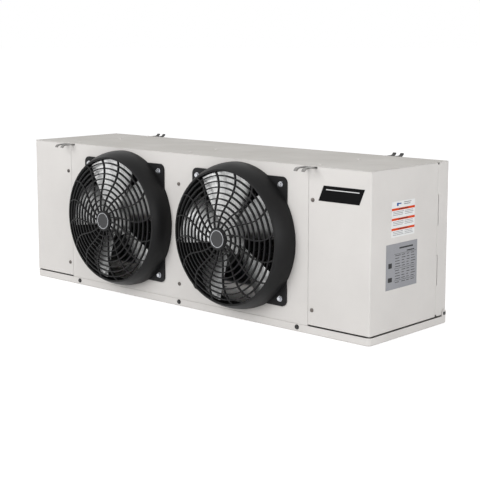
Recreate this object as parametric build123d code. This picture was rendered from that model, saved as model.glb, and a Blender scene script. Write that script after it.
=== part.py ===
from build123d import *
import math
import os

# Walk-in unit cooler: a low ceiling-hung evaporator with two guarded fans in front and the coil behind.
# Frame, in mm: X along the cabinet, -Y out of the fans, +Z up, origin under the middle of the drain pan.

# ---- driving dimensions --------------------------------------------------------------------------
LENGTH = 1118.0          # cabinet, end cover to end cover
DEPTH = 290.0            # cabinet, front face to rear face
SHEET = 1.2              # cabinet sheet metal
SEAM = 0.6               # open seam between neighbouring sheets
TOUCH = 0.3              # gap between a sheet and the one that swings against it

PAN_LIP = 18.0           # height of the drain pan
PAN_GAP = 3.0            # pan lip to end cover
PAN_OVER = 2.0           # how far the pan stands out of the cabinet all round
PAN_CORNER_R = 12.0
PAN_REAR_R = 3.4         # tighter rear corners, clear of the cabinet as the pan swings
PAN_EDGE_R = 3.0
PAN_TAB_W = 18.0         # hinge tab on each end of the pan
PAN_PIN_L = 9.0
PAN_PIVOT_IN = 7.0       # pan pivot in front of the rear face
PAN_PIVOT_UP = 6.0       # pan pivot above the pan lip
PAN_PIN_R = 2.5
PAN_PIN_HEAD_R = 4.0
PAN_PIN_HEAD_T = 1.5

END_LEFT = 149.0         # width of the left end compartment
END_RIGHT = 168.0        # width of the right end compartment
WEB_IN = 11.0            # coil end plate inside the fan panel's edge
FLANGE_W = 32.0          # flanges of the coil end plates
WALL_OVERLAP = 12.0      # rear corner's wall over the flange
PLATE_FOOT = 24.0        # underside of the coil end plates and the middle baffle
SKIRT_Z = 8.0            # lower edge of the fan panel, behind the pan lip
REAR_SIDE_W = 36.0       # side leaf of each rear corner
COVER_FLANGE = 10.0      # top and bottom flanges of the end covers
COVER_CORNER_R = 3.0
TOP_FLANGE = 16.0
TOP_EDGE_R = 1.0
BAFFLE_FLANGE = 20.0

KNUCKLE_R = 2.6          # rolled hinge of the end covers
HINGE_PIN_R = 1.3
HINGE_PIN_HEAD_R = 2.3
HINGE_PIN_HEAD_T = 1.5
PIN_PLAY = 0.05          # radial running clearance of every pin and shaft
KNUCKLES = 5
KNUCKLE_GAP = 0.5
HINGE_MARGIN = 4.0       # hinge ends inside the cover's ends
HINGE_PIN_TAIL = 2.0     # pin below the lowest knuckle

BLADE_R = 150.0          # the fans set the size of their guards, the panel's holes and its height
FAN_GAP = 50.0           # between the shells of the two guards
FAN_MARGIN = 16.0        # sheet over and under the holes in the fan panel
BASE_R = BLADE_R + 20.0  # guard shell at the panel
BASE_H = 9.0
RIM_R = BLADE_R + 7.0    # guard shell at its front rim
RIM_H = 51.0
BELLY_R = BLADE_R + 16.0
BELLY_H = 32.0           # half way up the shell
WALL = 3.2               # moulded wall of the shell
MOUTH_R = BLADE_R + 8.0  # inner edge of the guard's flange
FLANGE_T = 3.0
EAR_T = 3.8
GRILLE_IN = 2.0          # grille's edge inside the rim
GRILLE_RISE = 0.5        # grille's edge ahead of the rim
RIM_BEVEL = 1.2
RIM_IN = 0.6             # rim thicker than the wall
OPENING_R = BLADE_R + 10.0             # hole in the fan panel
DOME_H = 72.0            # outside of the grille at its middle
GRILLE_T = 4.5
RINGS = 9
SPOKES = 16
BAR_W = 2.8              # rings and spokes of the grille
SPOKE_POINTS = 7
SPOKE_TRAIL = 34.0       # degrees the spokes fall back towards their middle
SPOKE_BEND = 1.2         # how soon they fall back
SPOKE_LEAD = 22.0        # degrees they come forward again at the rim
SPOKE_ROOT = 3.0         # spokes into the hub disc
HUB_DISC_R = 26.0
BADGE_R = 22.0
BADGE_T = 1.6
BADGE_RIM = 2.2          # raised rim of the badge
BADGE_SINK = 0.5
EAR_R = 14.0
EAR_SCREW_OUT = 12.4     # ear screw outside the shell
EAR_SCREW = (BASE_R + EAR_SCREW_OUT) / math.sqrt(2)    # from the fan axis, along X and along Z
EAR_EDGE = 17.0
EAR_HALF = EAR_SCREW + EAR_EDGE        # half the square that the four ears belong to
EAR_HOLE_R = 2.9
EAR_SCREW_R = 2.5
EAR_SCREW_L = 12.0
EAR_HEAD_R = 4.9
EAR_HEAD_T = 4.2
EAR_WASHER_R = 6.5
EAR_WASHER_T = 1.3

BLADES = 5
BLADE_T = 1.5
BLADE_Z = 22.0           # blade disc in front of the panel
BLADE_ROOT = (32.0, 46.0, 36.0)        # radius, chord, pitch in degrees
BLADE_WAIST = (90.0, 92.0, 28.0)
BLADE_TIP = (BLADE_R, 124.0, 20.0)
BLADE_CAMBER = 0.09      # of the chord
BLADE_TURN = 25.0        # first blade, degrees
SPIDER_R = 42.0
SPIDER_T = 2.0
HUB_R = 17.0
HUB_L = 16.0
SHAFT_R = 4.0
SHAFT_NOSE = 8.0         # shaft end in front of the blade disc
SHAFT_TAIL = 52.0        # shaft end behind the motor's front
MOTOR_R = 43.0
MOTOR_L = 60.0
MOTOR_FRONT = 28.0       # motor's front behind the panel face
MOTOR_BOSS_R = 12.0
MOTOR_BOSS_L = 6.0
MOTOR_RIBS = 12
MOTOR_RIB_T = 3.0
MOTOR_RIB_H = 4.0
MOTOR_RIB_ENDS = (18.0, 38.0)          # radii between which the ribs run
MOTOR_EDGE_R = 3.0
MOTOR_BACK_T = 6.0       # closed back of the motor
STRAP_W = 14.0           # motor bracket
STRAP_T = 3.0
CLAMP_T = 3.0
CLAMP_L = 20.0
CLAMP_BACK = 22.0        # clamp ring behind the motor's front
STRAP_FOOT = 12.0        # foot beyond the leg and around its screw

HANGER_LEFT = 2.0        # hangers outside the fan panel's edges
HANGER_RIGHT = 5.0
HANGER_W = 34.0
HANGER_T = 3.0
FORK_W = 30.0
FORK_SLOT = 13.0
FORK_REACH = 40.0        # fork ahead of the cabinet
FORK_ROOT = 3.0          # slot's closed end ahead of the cabinet
FORK_BEND_R = 14.0
FORK_BEND = 60.0         # degrees
STRAP_BACK = 1.0         # wide part of a hanger behind the cover's sheet
FORK_NOTCH = 1.5         # clearance round a fork where it leaves the cabinet
FRONT_HANGER_L = 188.0
HANGER_SPLIT = 20.0      # between a front hanger and the rear one behind it
REAR_HANGER_L = DEPTH - FRONT_HANGER_L - HANGER_SPLIT
RIVET_R = 2.4
RIVET_HOLE_R = 2.45
RIVET_HEAD_R = 4.6
RIVET_HEAD_T = 1.8
RIVET_LINES = (34.0, FRONT_HANGER_L - 15.0, DEPTH - 14.0)      # hanger rivets behind the front face

SCREW_R = 2.0            # sheet metal screws
SCREW_HOLE_R = 2.4
SCREW_L = 8.0
SCREW_HEAD_R = 4.4
SCREW_HEAD_T = 2.4
SLOT_PLAY = 0.9          # open slots round the captive screws
COVER_SCREW_IN = 12.0    # cover screws beyond the seam
SCREW_LOW = 34.0         # panel and cover screws above the end covers' bottom
SCREW_DROP = 74.0        # upper screws below the cabinet's top
PAN_SCREW_Z = 11.0
PAN_SCREW_PITCH = 372.0
PAN_WASHER_R = 5.6
PAN_WASHER_T = 1.0

FIN_BACK = 20.0          # back of the fins in front of the rear face
FIN_ROWS = 4
ROW_PITCH = 27.5
COL_PITCH = 31.75
FIN_EDGE = 13.75         # outer tube row to the fins' edge
FIN_GAP = 2.0            # fin pack to coil end plate
TUBE_R = 4.76
TUBE_WALL = 0.7
TUBE_OUT = 14.0          # tubes beyond the coil end plates
TUBE_PLAY = 0.02
PLATE_PLAY = 0.15
HEADER_R = 15.1
HEADER_WALL = 1.2
HEADER_BITE = 8.5        # row outlets past the header's near side
HEADER_OUT = 48.0        # header axis beyond the right end plate
HEADER_END = 12.0        # header beyond the outer tube rows
SUCTION_R = 11.1
LIQUID_R = 6.35
LINE_WALL = 1.0
LINE_OUT = 50.0          # line stubs beyond the rear face
SOCKET_PLAY = 0.05
SUCTION_BEND_R = 24.0
LIQUID_BEND_R = 21.0
SUCTION_SOCKET_L = 22.0  # swaged socket at the end of each line
LIQUID_SOCKET_L = 14.0
SUCTION_Z = 210.0
SUCTION_RISE = 60.0      # sloped part of the suction line
VALVE_DROP = 80.0        # access valve below the suction stub
LIQUID_DROP = 68.8       # liquid line below the coil end plates' top
SUCTION_AT = 72.0        # stub beyond the right end plate
LIQUID_AT = 118.0
GROMMET_T = 2.0          # rubber grommet in the rear panel
GROMMET_LIP = 3.0
GROMMET_LIP_T = 2.5
GROMMET_PLAY = 0.1
DIST_AT = 80.0           # distributor's back beyond the right end plate
DIST_R = 11.0
DIST_L = 26.0
DIST_WALL = 3.0          # round the bore at the line's end
DIST_FACE = 8.0          # solid nose that the feeders sit in
FEEDER_R = 2.4
FEEDER_BEND_R = 9.0
FEEDER_WALL = 0.6
FEEDER_RING = 6.0        # feeders round the distributor's nose
FEEDER_SEAT = 5.0
FEEDER_NOSE_RUN = 10.0   # straight ends of the feeders
FEEDER_TUBE_RUN = 24.0
VALVE_R = 4.0
VALVE_L = 16.0
VALVE_CAP_R = 5.5
VALVE_CAP = (7.0, 1.0)   # the cap's two ends inside the valve's end

BOX_L = 58.0             # electrical box along X
BOX_W = 100.0
BOX_H = 120.0
BOX_DROP = 22.8          # box below the coil end plates' top
BOX_FRONT = 35.0         # box behind the front face
LID_OVER = 2.0           # lid beyond the box all round
LID_SUNK = 12.0        # sunk middle of the lid inside the box's edges
BLOCK_W = 22.0           # terminal block
BLOCK_T = 16.0
BLOCK_L = 84.0
BLOCK_POLES = 6
BLOCK_UP = 8.0           # above the middle of the box
POCKET = (5.0, 8.0, 3.0, 12.0)         # depth, width, inner and outer edge of a terminal's pocket
GLAND_R = 11.0
GLAND_HOLE_R = 11.2
GLAND_NUT_R = 15.0
GLAND_T = 6.0
GLAND_LOCK = (14.0, 4.0)               # radius and height of the box gland's lock nut
GLAND_IN = 6.0           # power gland inside and outside the rear wall
GLAND_OUT = 16.0
GLAND_BACK_T = 5.0
GLAND_BORE_R = 6.0
GLAND_Z = 90.0
GLAND_AT = 70.0          # power gland beyond the left end plate

DRAIN_R = 11.1
DRAIN_WALL = 1.5
DRAIN_OUT = 38.0
DRAIN_X = 330.0
DRAIN_Z = 14.5
DRAIN_PAD = 20.0         # taller wall round the drain, each way
DRAIN_PAD_RISE = 12.0
DRAIN_FLANGE_R = 12.2
DRAIN_FLANGE_T = 2.0

PLATE_T = 0.8            # blank name plate on the right cover
NAME_L = 109.0
NAME_H = 34.0
NAME_SLANT = 14.0
NAME_AT = 28.0           # lower left corner beyond the seam
NAME_DROP = 74.0         # lower edge below the cabinet's top
LABEL_T = 0.3            # labels on the right end
BAR_LABEL = (86.0, 77.0, 203.0)        # width, height, height above the cover's bottom
DATA_LABEL = (116.0, 99.0, 90.0)
LABEL_FRONT = 73.0       # bar label behind the front face
DATA_FRONT = 55.0

THROUGH = 100.0          # reach of a cutting tool that passes right through

# ---- places worked out from them -----------------------------------------------------------------
HALF_L = LENGTH / 2
FRONT = -DEPTH / 2
REAR = DEPTH / 2
COVER_Z = PAN_LIP + PAN_GAP
COVER_H = 2 * (OPENING_R + FAN_MARGIN)
FAN_PITCH = 2 * BASE_R + FAN_GAP
TOP_Z = COVER_Z + COVER_H
UNDER_TOP = TOP_Z - SHEET
PANEL_X = (-HALF_L + END_LEFT, HALF_L - END_RIGHT)
PANEL_MID = (PANEL_X[0] + PANEL_X[1]) / 2
FAN_X = {"left": PANEL_MID - FAN_PITCH / 2, "right": PANEL_MID + FAN_PITCH / 2}
FAN_Z = COVER_Z + COVER_H / 2
SCREW_HIGH = COVER_H - SCREW_DROP
PLATE_TOP = UNDER_TOP - HANGER_T
BOX_Z = PLATE_TOP - BOX_DROP - BOX_H
LIQUID_Z = PLATE_TOP - LIQUID_DROP
SIDES = {"left": -1, "right": 1}
WEB_X = {"left": PANEL_X[0] + WEB_IN, "right": PANEL_X[1] - WEB_IN}
HANGER_X = {"left": PANEL_X[0] - HANGER_LEFT, "right": PANEL_X[1] + HANGER_RIGHT}
HINGE_X = HALF_L - KNUCKLE_R
HINGE_Y = REAR - REAR_SIDE_W - KNUCKLE_R - KNUCKLE_GAP
HINGE_Z = (COVER_Z + HINGE_MARGIN, UNDER_TOP - HINGE_MARGIN)
PAN_PIVOT = (REAR - PAN_PIVOT_IN, PAN_LIP + PAN_PIVOT_UP)
PAN_INNER_X = HALF_L + PAN_OVER - SHEET
FIN_DEPTH = 2 * FIN_EDGE + (FIN_ROWS - 1) * ROW_PITCH
FIN_FRONT = DEPTH - FIN_BACK - FIN_DEPTH
BAFFLE_RIVETS = (40.0, FIN_FRONT - 29.0)               # middle baffle rivets behind the front face
TUBE_Y = [FRONT + FIN_FRONT + FIN_EDGE + row * ROW_PITCH for row in range(FIN_ROWS)]
FIN_COLS = 2 * int((PLATE_TOP - PLATE_FOOT) / COL_PITCH / 2)          # even, for the return bends
FIN_HEIGHT = FIN_COLS * COL_PITCH
FIN_Z = PLATE_FOOT + (PLATE_TOP - PLATE_FOOT - FIN_HEIGHT) / 2
HEADER_X = WEB_X["right"] + HEADER_OUT
SUCTION_X = WEB_X["right"] + SUCTION_AT
LIQUID_X = WEB_X["right"] + LIQUID_AT
DIST_Y = (TUBE_Y[1] + TUBE_Y[2]) / 2


def slab(x0, x1, y0, y1, z0, z1):
    """A box between two corners, given in any order."""
    size = (abs(x1 - x0), abs(y1 - y0), abs(z1 - z0))
    return Pos((x0 + x1) / 2, (y0 + y1) / 2, (z0 + z1) / 2) * Box(*size)


def rod_x(radius, x0, x1, y, z):
    return Pos((x0 + x1) / 2, y, z) * Rot(0, 90, 0) * Cylinder(radius, abs(x1 - x0))


def rod_y(radius, y0, y1, x, z):
    return Pos(x, (y0 + y1) / 2, z) * Rot(90, 0, 0) * Cylinder(radius, abs(y1 - y0))


def rod_z(radius, z0, z1, x, y):
    return Pos(x, y, (z0 + z1) / 2) * Cylinder(radius, abs(z1 - z0))


def tube_z(row, col):
    """Height of a coil tube: neighbouring rows are staggered by half a pitch."""
    return FIN_Z + COL_PITCH * (col + 0.25 + 0.5 * (row % 2))


def place_fan(shape, side):
    """Moves a shape from the fan's own frame, +Z out of the panel face, to its place."""
    return Pos(FAN_X[side], FRONT, FAN_Z) * Rot(90, 0, 0) * shape


def ring_z(outer, inner, z0, z1):
    return rod_z(outer, z0, z1, 0, 0) - rod_z(inner, z0 - 1, z1 + 1, 0, 0)


# ---- cabinet -------------------------------------------------------------------------------------
def fork_notch(x, z_low):
    """Cutter that lets a hanger fork out through the front sheets."""
    half = FORK_W / 2 + FORK_NOTCH
    return slab(x - half, x + half, FRONT - 1, FRONT + 2 * SHEET, z_low, TOP_Z)


def top_panel():
    top = slab(-HALF_L, HALF_L, FRONT, REAR, UNDER_TOP, TOP_Z)
    top = fillet(top.edges().filter_by(Axis.X).group_by(Axis.Z)[-1], TOP_EDGE_R)
    inner = (WEB_X["left"] + HANGER_W, WEB_X["right"] - HANGER_W)
    top += slab(inner[0], inner[1], REAR - SHEET, REAR, UNDER_TOP - TOP_FLANGE, UNDER_TOP)
    for x in HANGER_X.values():
        for back in RIVET_LINES:
            top -= rod_z(RIVET_HOLE_R, UNDER_TOP - 1, TOP_Z + 1, x, FRONT + back)
    for back in BAFFLE_RIVETS:
        top -= rod_z(RIVET_HOLE_R, UNDER_TOP - 1, TOP_Z + 1, PANEL_MID, FRONT + back)
    return top


def pan_screw_x():
    return [PANEL_MID + step * PAN_SCREW_PITCH for step in (-1, 0, 1)]


def fan_panel():
    panel = slab(PANEL_X[0], PANEL_X[1], FRONT, FRONT + SHEET, SKIRT_Z, UNDER_TOP)
    through = (FRONT - 1, FRONT + SHEET + 1)
    for fan_x in FAN_X.values():
        panel -= rod_y(OPENING_R, *through, fan_x, FAN_Z)
        for dx in (-EAR_SCREW, EAR_SCREW):
            for dz in (-EAR_SCREW, EAR_SCREW):
                panel -= rod_y(EAR_HOLE_R, *through, fan_x + dx, FAN_Z + dz)
    for height in (SCREW_LOW, SCREW_HIGH):
        panel -= rod_y(SCREW_HOLE_R, *through, PANEL_MID, COVER_Z + height)
    half = SCREW_R + SLOT_PLAY
    for x in pan_screw_x():
        panel -= slab(x - half, x + half, *through, SKIRT_Z - 1, PAN_SCREW_Z)
        panel -= rod_y(half, *through, x, PAN_SCREW_Z)
    for x in HANGER_X.values():
        panel -= fork_notch(x, PLATE_TOP - FORK_NOTCH)
    return panel


def middle_baffle():
    """Sheet between the two fans, from the fan panel back to the coil."""
    y0 = FRONT + SHEET
    y1 = FRONT + FIN_FRONT - FIN_GAP
    mid = PANEL_MID
    flange = BAFFLE_FLANGE / 2
    sheet = slab(mid - SHEET / 2, mid + SHEET / 2, y0, y1, PLATE_FOOT, UNDER_TOP)
    sheet += slab(mid - flange, mid + flange, y0, y0 + SHEET, PLATE_FOOT, UNDER_TOP)
    sheet += slab(mid - flange, mid + flange, y0, y1, UNDER_TOP - SHEET, UNDER_TOP)
    sheet += slab(mid - flange, mid + flange, y0, y1, PLATE_FOOT, PLATE_FOOT + SHEET)
    for height in (SCREW_LOW, SCREW_HIGH):
        sheet -= rod_y(SCREW_HOLE_R, y0 - 1, y0 + SCREW_L, mid, COVER_Z + height)
    for back in BAFFLE_RIVETS:
        sheet -= rod_z(RIVET_HEAD_R, UNDER_TOP - SHEET - 8, UNDER_TOP - SHEET, mid, FRONT + back)
        sheet -= rod_z(RIVET_HOLE_R, UNDER_TOP - SHEET - 1, UNDER_TOP + 1, mid, FRONT + back)
    return sheet


def coil_end_plate(side):
    """Channel that carries the coil, its flanges turned towards the end compartment."""
    out = SIDES[side]
    x0 = WEB_X[side]
    web = slab(x0, x0 - out * SHEET, FRONT + SHEET + TOUCH, REAR - SHEET - TOUCH, PLATE_FOOT, PLATE_TOP)
    far = x0 + out * FLANGE_W
    front_y = FRONT + SHEET + TOUCH
    rear_y = REAR - SHEET - TOUCH
    plate = web + slab(x0, far, front_y, front_y + SHEET, PLATE_FOOT, PLATE_TOP)
    plate += slab(x0, far, rear_y - SHEET, rear_y, PLATE_FOOT, PLATE_TOP)
    plate += slab(x0, far, front_y, rear_y, PLATE_TOP - SHEET, PLATE_TOP)
    plate += slab(x0, far, front_y, rear_y, PLATE_FOOT, PLATE_FOOT + SHEET)
    for row in range(FIN_ROWS):
        for col in range(FIN_COLS):
            hole = rod_x(TUBE_R + PLATE_PLAY, x0 - 5, x0 + 5, TUBE_Y[row], tube_z(row, col))
            plate -= hole
    half = SCREW_R + SLOT_PLAY
    screw_x = PANEL_X[0] - COVER_SCREW_IN if out < 0 else PANEL_X[1] + COVER_SCREW_IN
    for height in (SCREW_LOW, SCREW_HIGH):
        z = COVER_Z + height
        plate -= slab(screw_x, far + out, front_y - 1, front_y + SHEET + 1, z - half, z + half)
        plate -= rod_y(half, front_y - 1, front_y + SHEET + 1, screw_x, z)
    for back in RIVET_LINES:
        plate -= rod_z(RIVET_HEAD_R, PLATE_TOP - 5, PLATE_TOP + 1, HANGER_X[side], FRONT + back)
    return plate


def hinge_steps():
    """The knuckles' spans: even ones stay with the rear corner, odd ones swing with the cover."""
    low, high = HINGE_Z
    step = (high - low) / KNUCKLES
    half = KNUCKLE_GAP / 2
    return [(low + n * step + half, low + (n + 1) * step - half) for n in range(KNUCKLES)]


def knuckle(out, z0, z1, toward):
    """A rolled knuckle with the strip of sheet that joins it to its own side of the seam."""
    face = out * HALF_L
    roll = rod_z(KNUCKLE_R, z0, z1, out * HINGE_X, HINGE_Y)
    strip = slab(face, face - out * SHEET, HINGE_Y, HINGE_Y + toward * (KNUCKLE_R + KNUCKLE_GAP), z0, z1)
    return roll + strip - rod_z(HINGE_PIN_R + PIN_PLAY, z0 - 1, z1 + 1, out * HINGE_X, HINGE_Y)


def rear_corner(side):
    """Fixed rear corner: rear wall of the end compartment and a short side leaf with hinge knuckles."""
    out = SIDES[side]
    face = out * HALF_L
    wall_x = WEB_X[side] + out * (FLANGE_W - WALL_OVERLAP)
    leaf_y = HINGE_Y + KNUCKLE_R + KNUCKLE_GAP
    corner = slab(wall_x, face, REAR - SHEET, REAR, COVER_Z, UNDER_TOP)
    corner += slab(face, face - out * SHEET, leaf_y, REAR, COVER_Z, UNDER_TOP)
    corner += slab(wall_x, face, REAR - COVER_FLANGE, REAR, COVER_Z, COVER_Z + SHEET)
    for z0, z1 in hinge_steps()[0::2]:
        corner += knuckle(out, z0, z1, 1)
    corner -= rod_x(PAN_PIN_R + PIN_PLAY, face - out * PAN_PIN_L, face + out * PAN_PIN_L, *PAN_PIVOT)
    through = (REAR - SHEET - 1, REAR + 1)
    strap = HANGER_X[side] + out * (HANGER_W / 2 + FORK_NOTCH)
    corner -= slab(wall_x - out, strap, *through, PLATE_TOP - FORK_NOTCH, TOP_Z)
    if side == "right":
        corner -= rod_y(SUCTION_R + GROMMET_T, *through, SUCTION_X, SUCTION_Z)
        corner -= rod_y(LIQUID_R + GROMMET_T, *through, LIQUID_X, LIQUID_Z)
    else:
        corner -= rod_y(GLAND_HOLE_R, *through, WEB_X[side] - GLAND_AT, GLAND_Z)
    return corner


def end_cover(side):
    """L-shaped cover of an end compartment, hinged along its rear edge."""
    out = SIDES[side]
    face = out * HALF_L
    edge = PANEL_X[0] - SEAM if out < 0 else PANEL_X[1] + SEAM
    z0, z1 = COVER_Z, UNDER_TOP - TOUCH
    rear_y = HINGE_Y - KNUCKLE_R - KNUCKLE_GAP
    body = slab(edge, face, FRONT, rear_y, z0, z1)
    body = fillet(body.edges().filter_by(Axis.Z).sort_by_distance((face, FRONT, z0))[0], COVER_CORNER_R)
    inside = face - out * SHEET
    body -= slab(edge - out, inside, FRONT + SHEET, rear_y + 1, z0 + SHEET, z1 - SHEET)
    deep = FRONT + COVER_FLANGE
    body -= slab(edge - out, inside - out * COVER_FLANGE, deep, rear_y + 1, z0 - 1, z1 + 1)
    half = FORK_W / 2 + FORK_NOTCH
    notch_x = HANGER_X[side] + out * (HANGER_W / 2 + half - FORK_W / 2)
    body -= slab(edge - out, notch_x, FRONT - 1, deep + 1, PLATE_TOP - FORK_NOTCH, z1 + 1)
    for low, high in hinge_steps()[1::2]:
        body += knuckle(out, low, high, -1)
    screw_x = edge + out * (COVER_SCREW_IN - SEAM)
    for height in (SCREW_LOW, SCREW_HIGH):
        body -= rod_y(SCREW_HOLE_R, FRONT - 1, FRONT + SHEET + 1, screw_x, COVER_Z + height)
    return body


def hinge_pin(side):
    """Long pin of an end cover, its head resting on the top knuckle."""
    x = SIDES[side] * HINGE_X
    spans = hinge_steps()
    top = spans[-1][1]
    pin = rod_z(HINGE_PIN_R, spans[0][0] - HINGE_PIN_TAIL, top, x, HINGE_Y)
    return pin + rod_z(HINGE_PIN_HEAD_R, top, top + HINGE_PIN_HEAD_T, x, HINGE_Y)


# ---- drain pan -----------------------------------------------------------------------------------
def pan_outline(inset):
    """The pan's plan, drawn in by the given amount all round."""
    plan = Rectangle(2 * (HALF_L + PAN_OVER - inset), 2 * (REAR + PAN_OVER - inset))
    plan = fillet(plan.vertices().group_by(Axis.Y)[0], PAN_CORNER_R - inset)
    return fillet(plan.vertices().group_by(Axis.Y)[-1], PAN_REAR_R - inset)


def drain_pan():
    outer_x, outer_y = HALF_L + PAN_OVER, REAR + PAN_OVER
    pan = extrude(pan_outline(0), PAN_LIP)
    pan = fillet(pan.edges().group_by(Axis.Z)[0], PAN_EDGE_R)
    pan -= Pos(0, 0, SHEET) * extrude(pan_outline(SHEET), PAN_LIP)
    pivot_y, pivot_z = PAN_PIVOT
    half = PAN_TAB_W / 2
    for out in (-1, 1):
        x0, x1 = out * PAN_INNER_X, out * outer_x
        pan += slab(x0, x1, pivot_y - half, pivot_y - PAN_CORNER_R / 4, PAN_LIP - 1, pivot_z)
        pan += rod_x(half, x0, x1, pivot_y, pivot_z) & slab(x0, x1, 0, pivot_y + half, PAN_LIP - 2, TOP_Z)
        pan -= rod_x(PAN_PIN_R + PIN_PLAY, x0 - out, x1 + out, pivot_y, pivot_z)
    pad_top = PAN_LIP + DRAIN_PAD_RISE
    pan += slab(DRAIN_X - DRAIN_PAD, DRAIN_X + DRAIN_PAD, outer_y - SHEET, outer_y, PAN_LIP - 1, pad_top)
    pan -= rod_y(DRAIN_R + TUBE_PLAY, outer_y - SHEET - 1, outer_y + 1, DRAIN_X, DRAIN_Z)
    for x in pan_screw_x():
        pan -= rod_y(SCREW_HOLE_R, -outer_y - 1, -outer_y + SHEET + 1, x, PAN_SCREW_Z)
    return pan


def drain_fitting():
    wall = REAR + PAN_OVER
    pipe = rod_y(DRAIN_R, wall - SHEET - DRAIN_FLANGE_T, wall + DRAIN_OUT, DRAIN_X, DRAIN_Z)
    for y in (wall - SHEET, wall + DRAIN_FLANGE_T):
        pipe += rod_y(DRAIN_FLANGE_R, y - DRAIN_FLANGE_T, y, DRAIN_X, DRAIN_Z)
    return pipe - rod_y(DRAIN_R - DRAIN_WALL, wall - 10, wall + DRAIN_OUT + 1, DRAIN_X, DRAIN_Z)


def pan_hinge_pins():
    pins = []
    for out in (-1, 1):
        head = out * (HALF_L + PAN_OVER)
        pin = rod_x(PAN_PIN_R, head - out * PAN_PIN_L, head, *PAN_PIVOT)
        pins.append(pin + rod_x(PAN_PIN_HEAD_R, head, head + out * PAN_PIN_HEAD_T, *PAN_PIVOT))
    return pins


# ---- fasteners -----------------------------------------------------------------------------------
def panel_screw(x, z, face):
    """Slotted pan-head screw driven in along +Y, its head on the given face."""
    head = rod_y(SCREW_HEAD_R, face - SCREW_HEAD_T, face, x, z)
    head = fillet(head.edges().group_by(Axis.Y)[0], SCREW_HEAD_T / 2)
    head += rod_y(SCREW_R, face, face + SCREW_L, x, z)
    slot = slab(x - SCREW_HEAD_R, x + SCREW_HEAD_R, face - SCREW_HEAD_T - 1, face - SCREW_HEAD_T / 2,
                z - 0.5, z + 0.5)
    return head - Pos(x, 0, z) * Rot(0, 35, 0) * Pos(-x, 0, -z) * slot


def cover_screws(side):
    x = PANEL_X[0] - COVER_SCREW_IN if side == "left" else PANEL_X[1] + COVER_SCREW_IN
    return [panel_screw(x, COVER_Z + height, FRONT) for height in (SCREW_LOW, SCREW_HIGH)]


def middle_screws():
    return [panel_screw(PANEL_MID, COVER_Z + height, FRONT) for height in (SCREW_LOW, SCREW_HIGH)]


def pan_screws():
    face = FRONT - PAN_OVER - PAN_WASHER_T
    return [panel_screw(x, PAN_SCREW_Z, face) for x in pan_screw_x()]


def pan_washers():
    face = FRONT - PAN_OVER
    rings = []
    for x in pan_screw_x():
        ring = rod_y(PAN_WASHER_R, face - PAN_WASHER_T, face, x, PAN_SCREW_Z)
        rings.append(ring - rod_y(SCREW_HOLE_R, face - 5, face + 1, x, PAN_SCREW_Z))
    return rings


def top_rivets():
    """Blind rivets that hold the hangers and the middle baffle to the top panel."""
    rivets = []
    spots = [(x, back, HANGER_T) for x in HANGER_X.values() for back in RIVET_LINES]
    spots += [(PANEL_MID, back, SHEET) for back in BAFFLE_RIVETS]
    for x, back, grip in spots:
        y = FRONT + back
        head = rod_z(RIVET_HEAD_R, TOP_Z, TOP_Z + RIVET_HEAD_T, x, y)
        head = fillet(head.edges().group_by(Axis.Z)[-1], RIVET_HEAD_T * 0.8)
        low = UNDER_TOP - grip
        rivets.append(head + rod_z(RIVET_R, low - 3.0, TOP_Z, x, y) + rod_z(RIVET_R + 0.8, low - 3.0, low, x, y))
    return rivets


# ---- hangers -------------------------------------------------------------------------------------
def hanger(side, rear):
    """Strap under the top panel that ends in an open fork for a hanger rod."""
    x = HANGER_X[side]
    edge = DEPTH / 2
    straight = edge + FORK_REACH - FORK_BEND_R * math.sin(math.radians(FORK_BEND))
    length = REAR_HANGER_L if rear else FRONT_HANGER_L
    z0, z1 = PLATE_TOP, UNDER_TOP
    # built pointing +Y with the bend turning down, then mirrored for the front
    strap = slab(x - HANGER_W / 2, x + HANGER_W / 2, edge - length, edge - SHEET - STRAP_BACK, z0, z1)
    strap += slab(x - FORK_W / 2, x + FORK_W / 2, edge - SHEET - 2 * STRAP_BACK, straight, z0, z1)
    turn = -1 if rear else 1
    centre_z = (z0 - FORK_BEND_R + HANGER_T) if turn > 0 else (z1 + FORK_BEND_R - HANGER_T)
    ring = Plane.YZ.offset(x - FORK_W / 2) * Pos(straight, centre_z) * (
        Circle(FORK_BEND_R) - Circle(FORK_BEND_R - HANGER_T))
    curl = extrude(ring, FORK_W)
    angle = math.radians(FORK_BEND)
    reach = 3 * FORK_BEND_R
    wedge = Polyline((straight, centre_z), (straight, centre_z + turn * reach),
                     (straight + reach * math.sin(angle), centre_z + turn * reach * math.cos(angle)), close=True)
    curl &= extrude(Plane.YZ.offset(x - FORK_W / 2) * make_face(wedge), FORK_W)
    strap += curl
    root = edge + FORK_ROOT + FORK_SLOT / 2
    half = FORK_SLOT / 2
    strap -= slab(x - half, x + half, root, edge + 2 * FORK_REACH, z0 - FORK_REACH, z1 + FORK_REACH)
    strap -= rod_z(FORK_SLOT / 2, z0 - 1, z1 + 1, x, root)
    if not rear:
        strap = mirror(strap, Plane.XZ)
    for back in RIVET_LINES:
        strap -= rod_z(RIVET_HOLE_R, z0 - 1, z1 + 1, x, FRONT + back)
    return strap


# ---- fans ----------------------------------------------------------------------------------------
def polar(radius, degrees):
    angle = math.radians(degrees)
    return (radius * math.cos(angle), radius * math.sin(angle))


def spoke_line(start_deg):
    """Points along one S-shaped spoke, from the hub disc to the rim."""
    inner, outer = HUB_DISC_R - SPOKE_ROOT, RIM_R - GRILLE_IN - BAR_W / 2
    points = []
    for step in range(SPOKE_POINTS):
        share = step / (SPOKE_POINTS - 1)
        swing = SPOKE_LEAD * share ** 2 - SPOKE_TRAIL * math.sin(share * math.pi / 2) ** SPOKE_BEND
        points.append(polar(inner + (outer - inner) * share, start_deg + swing))
    return points


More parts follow.
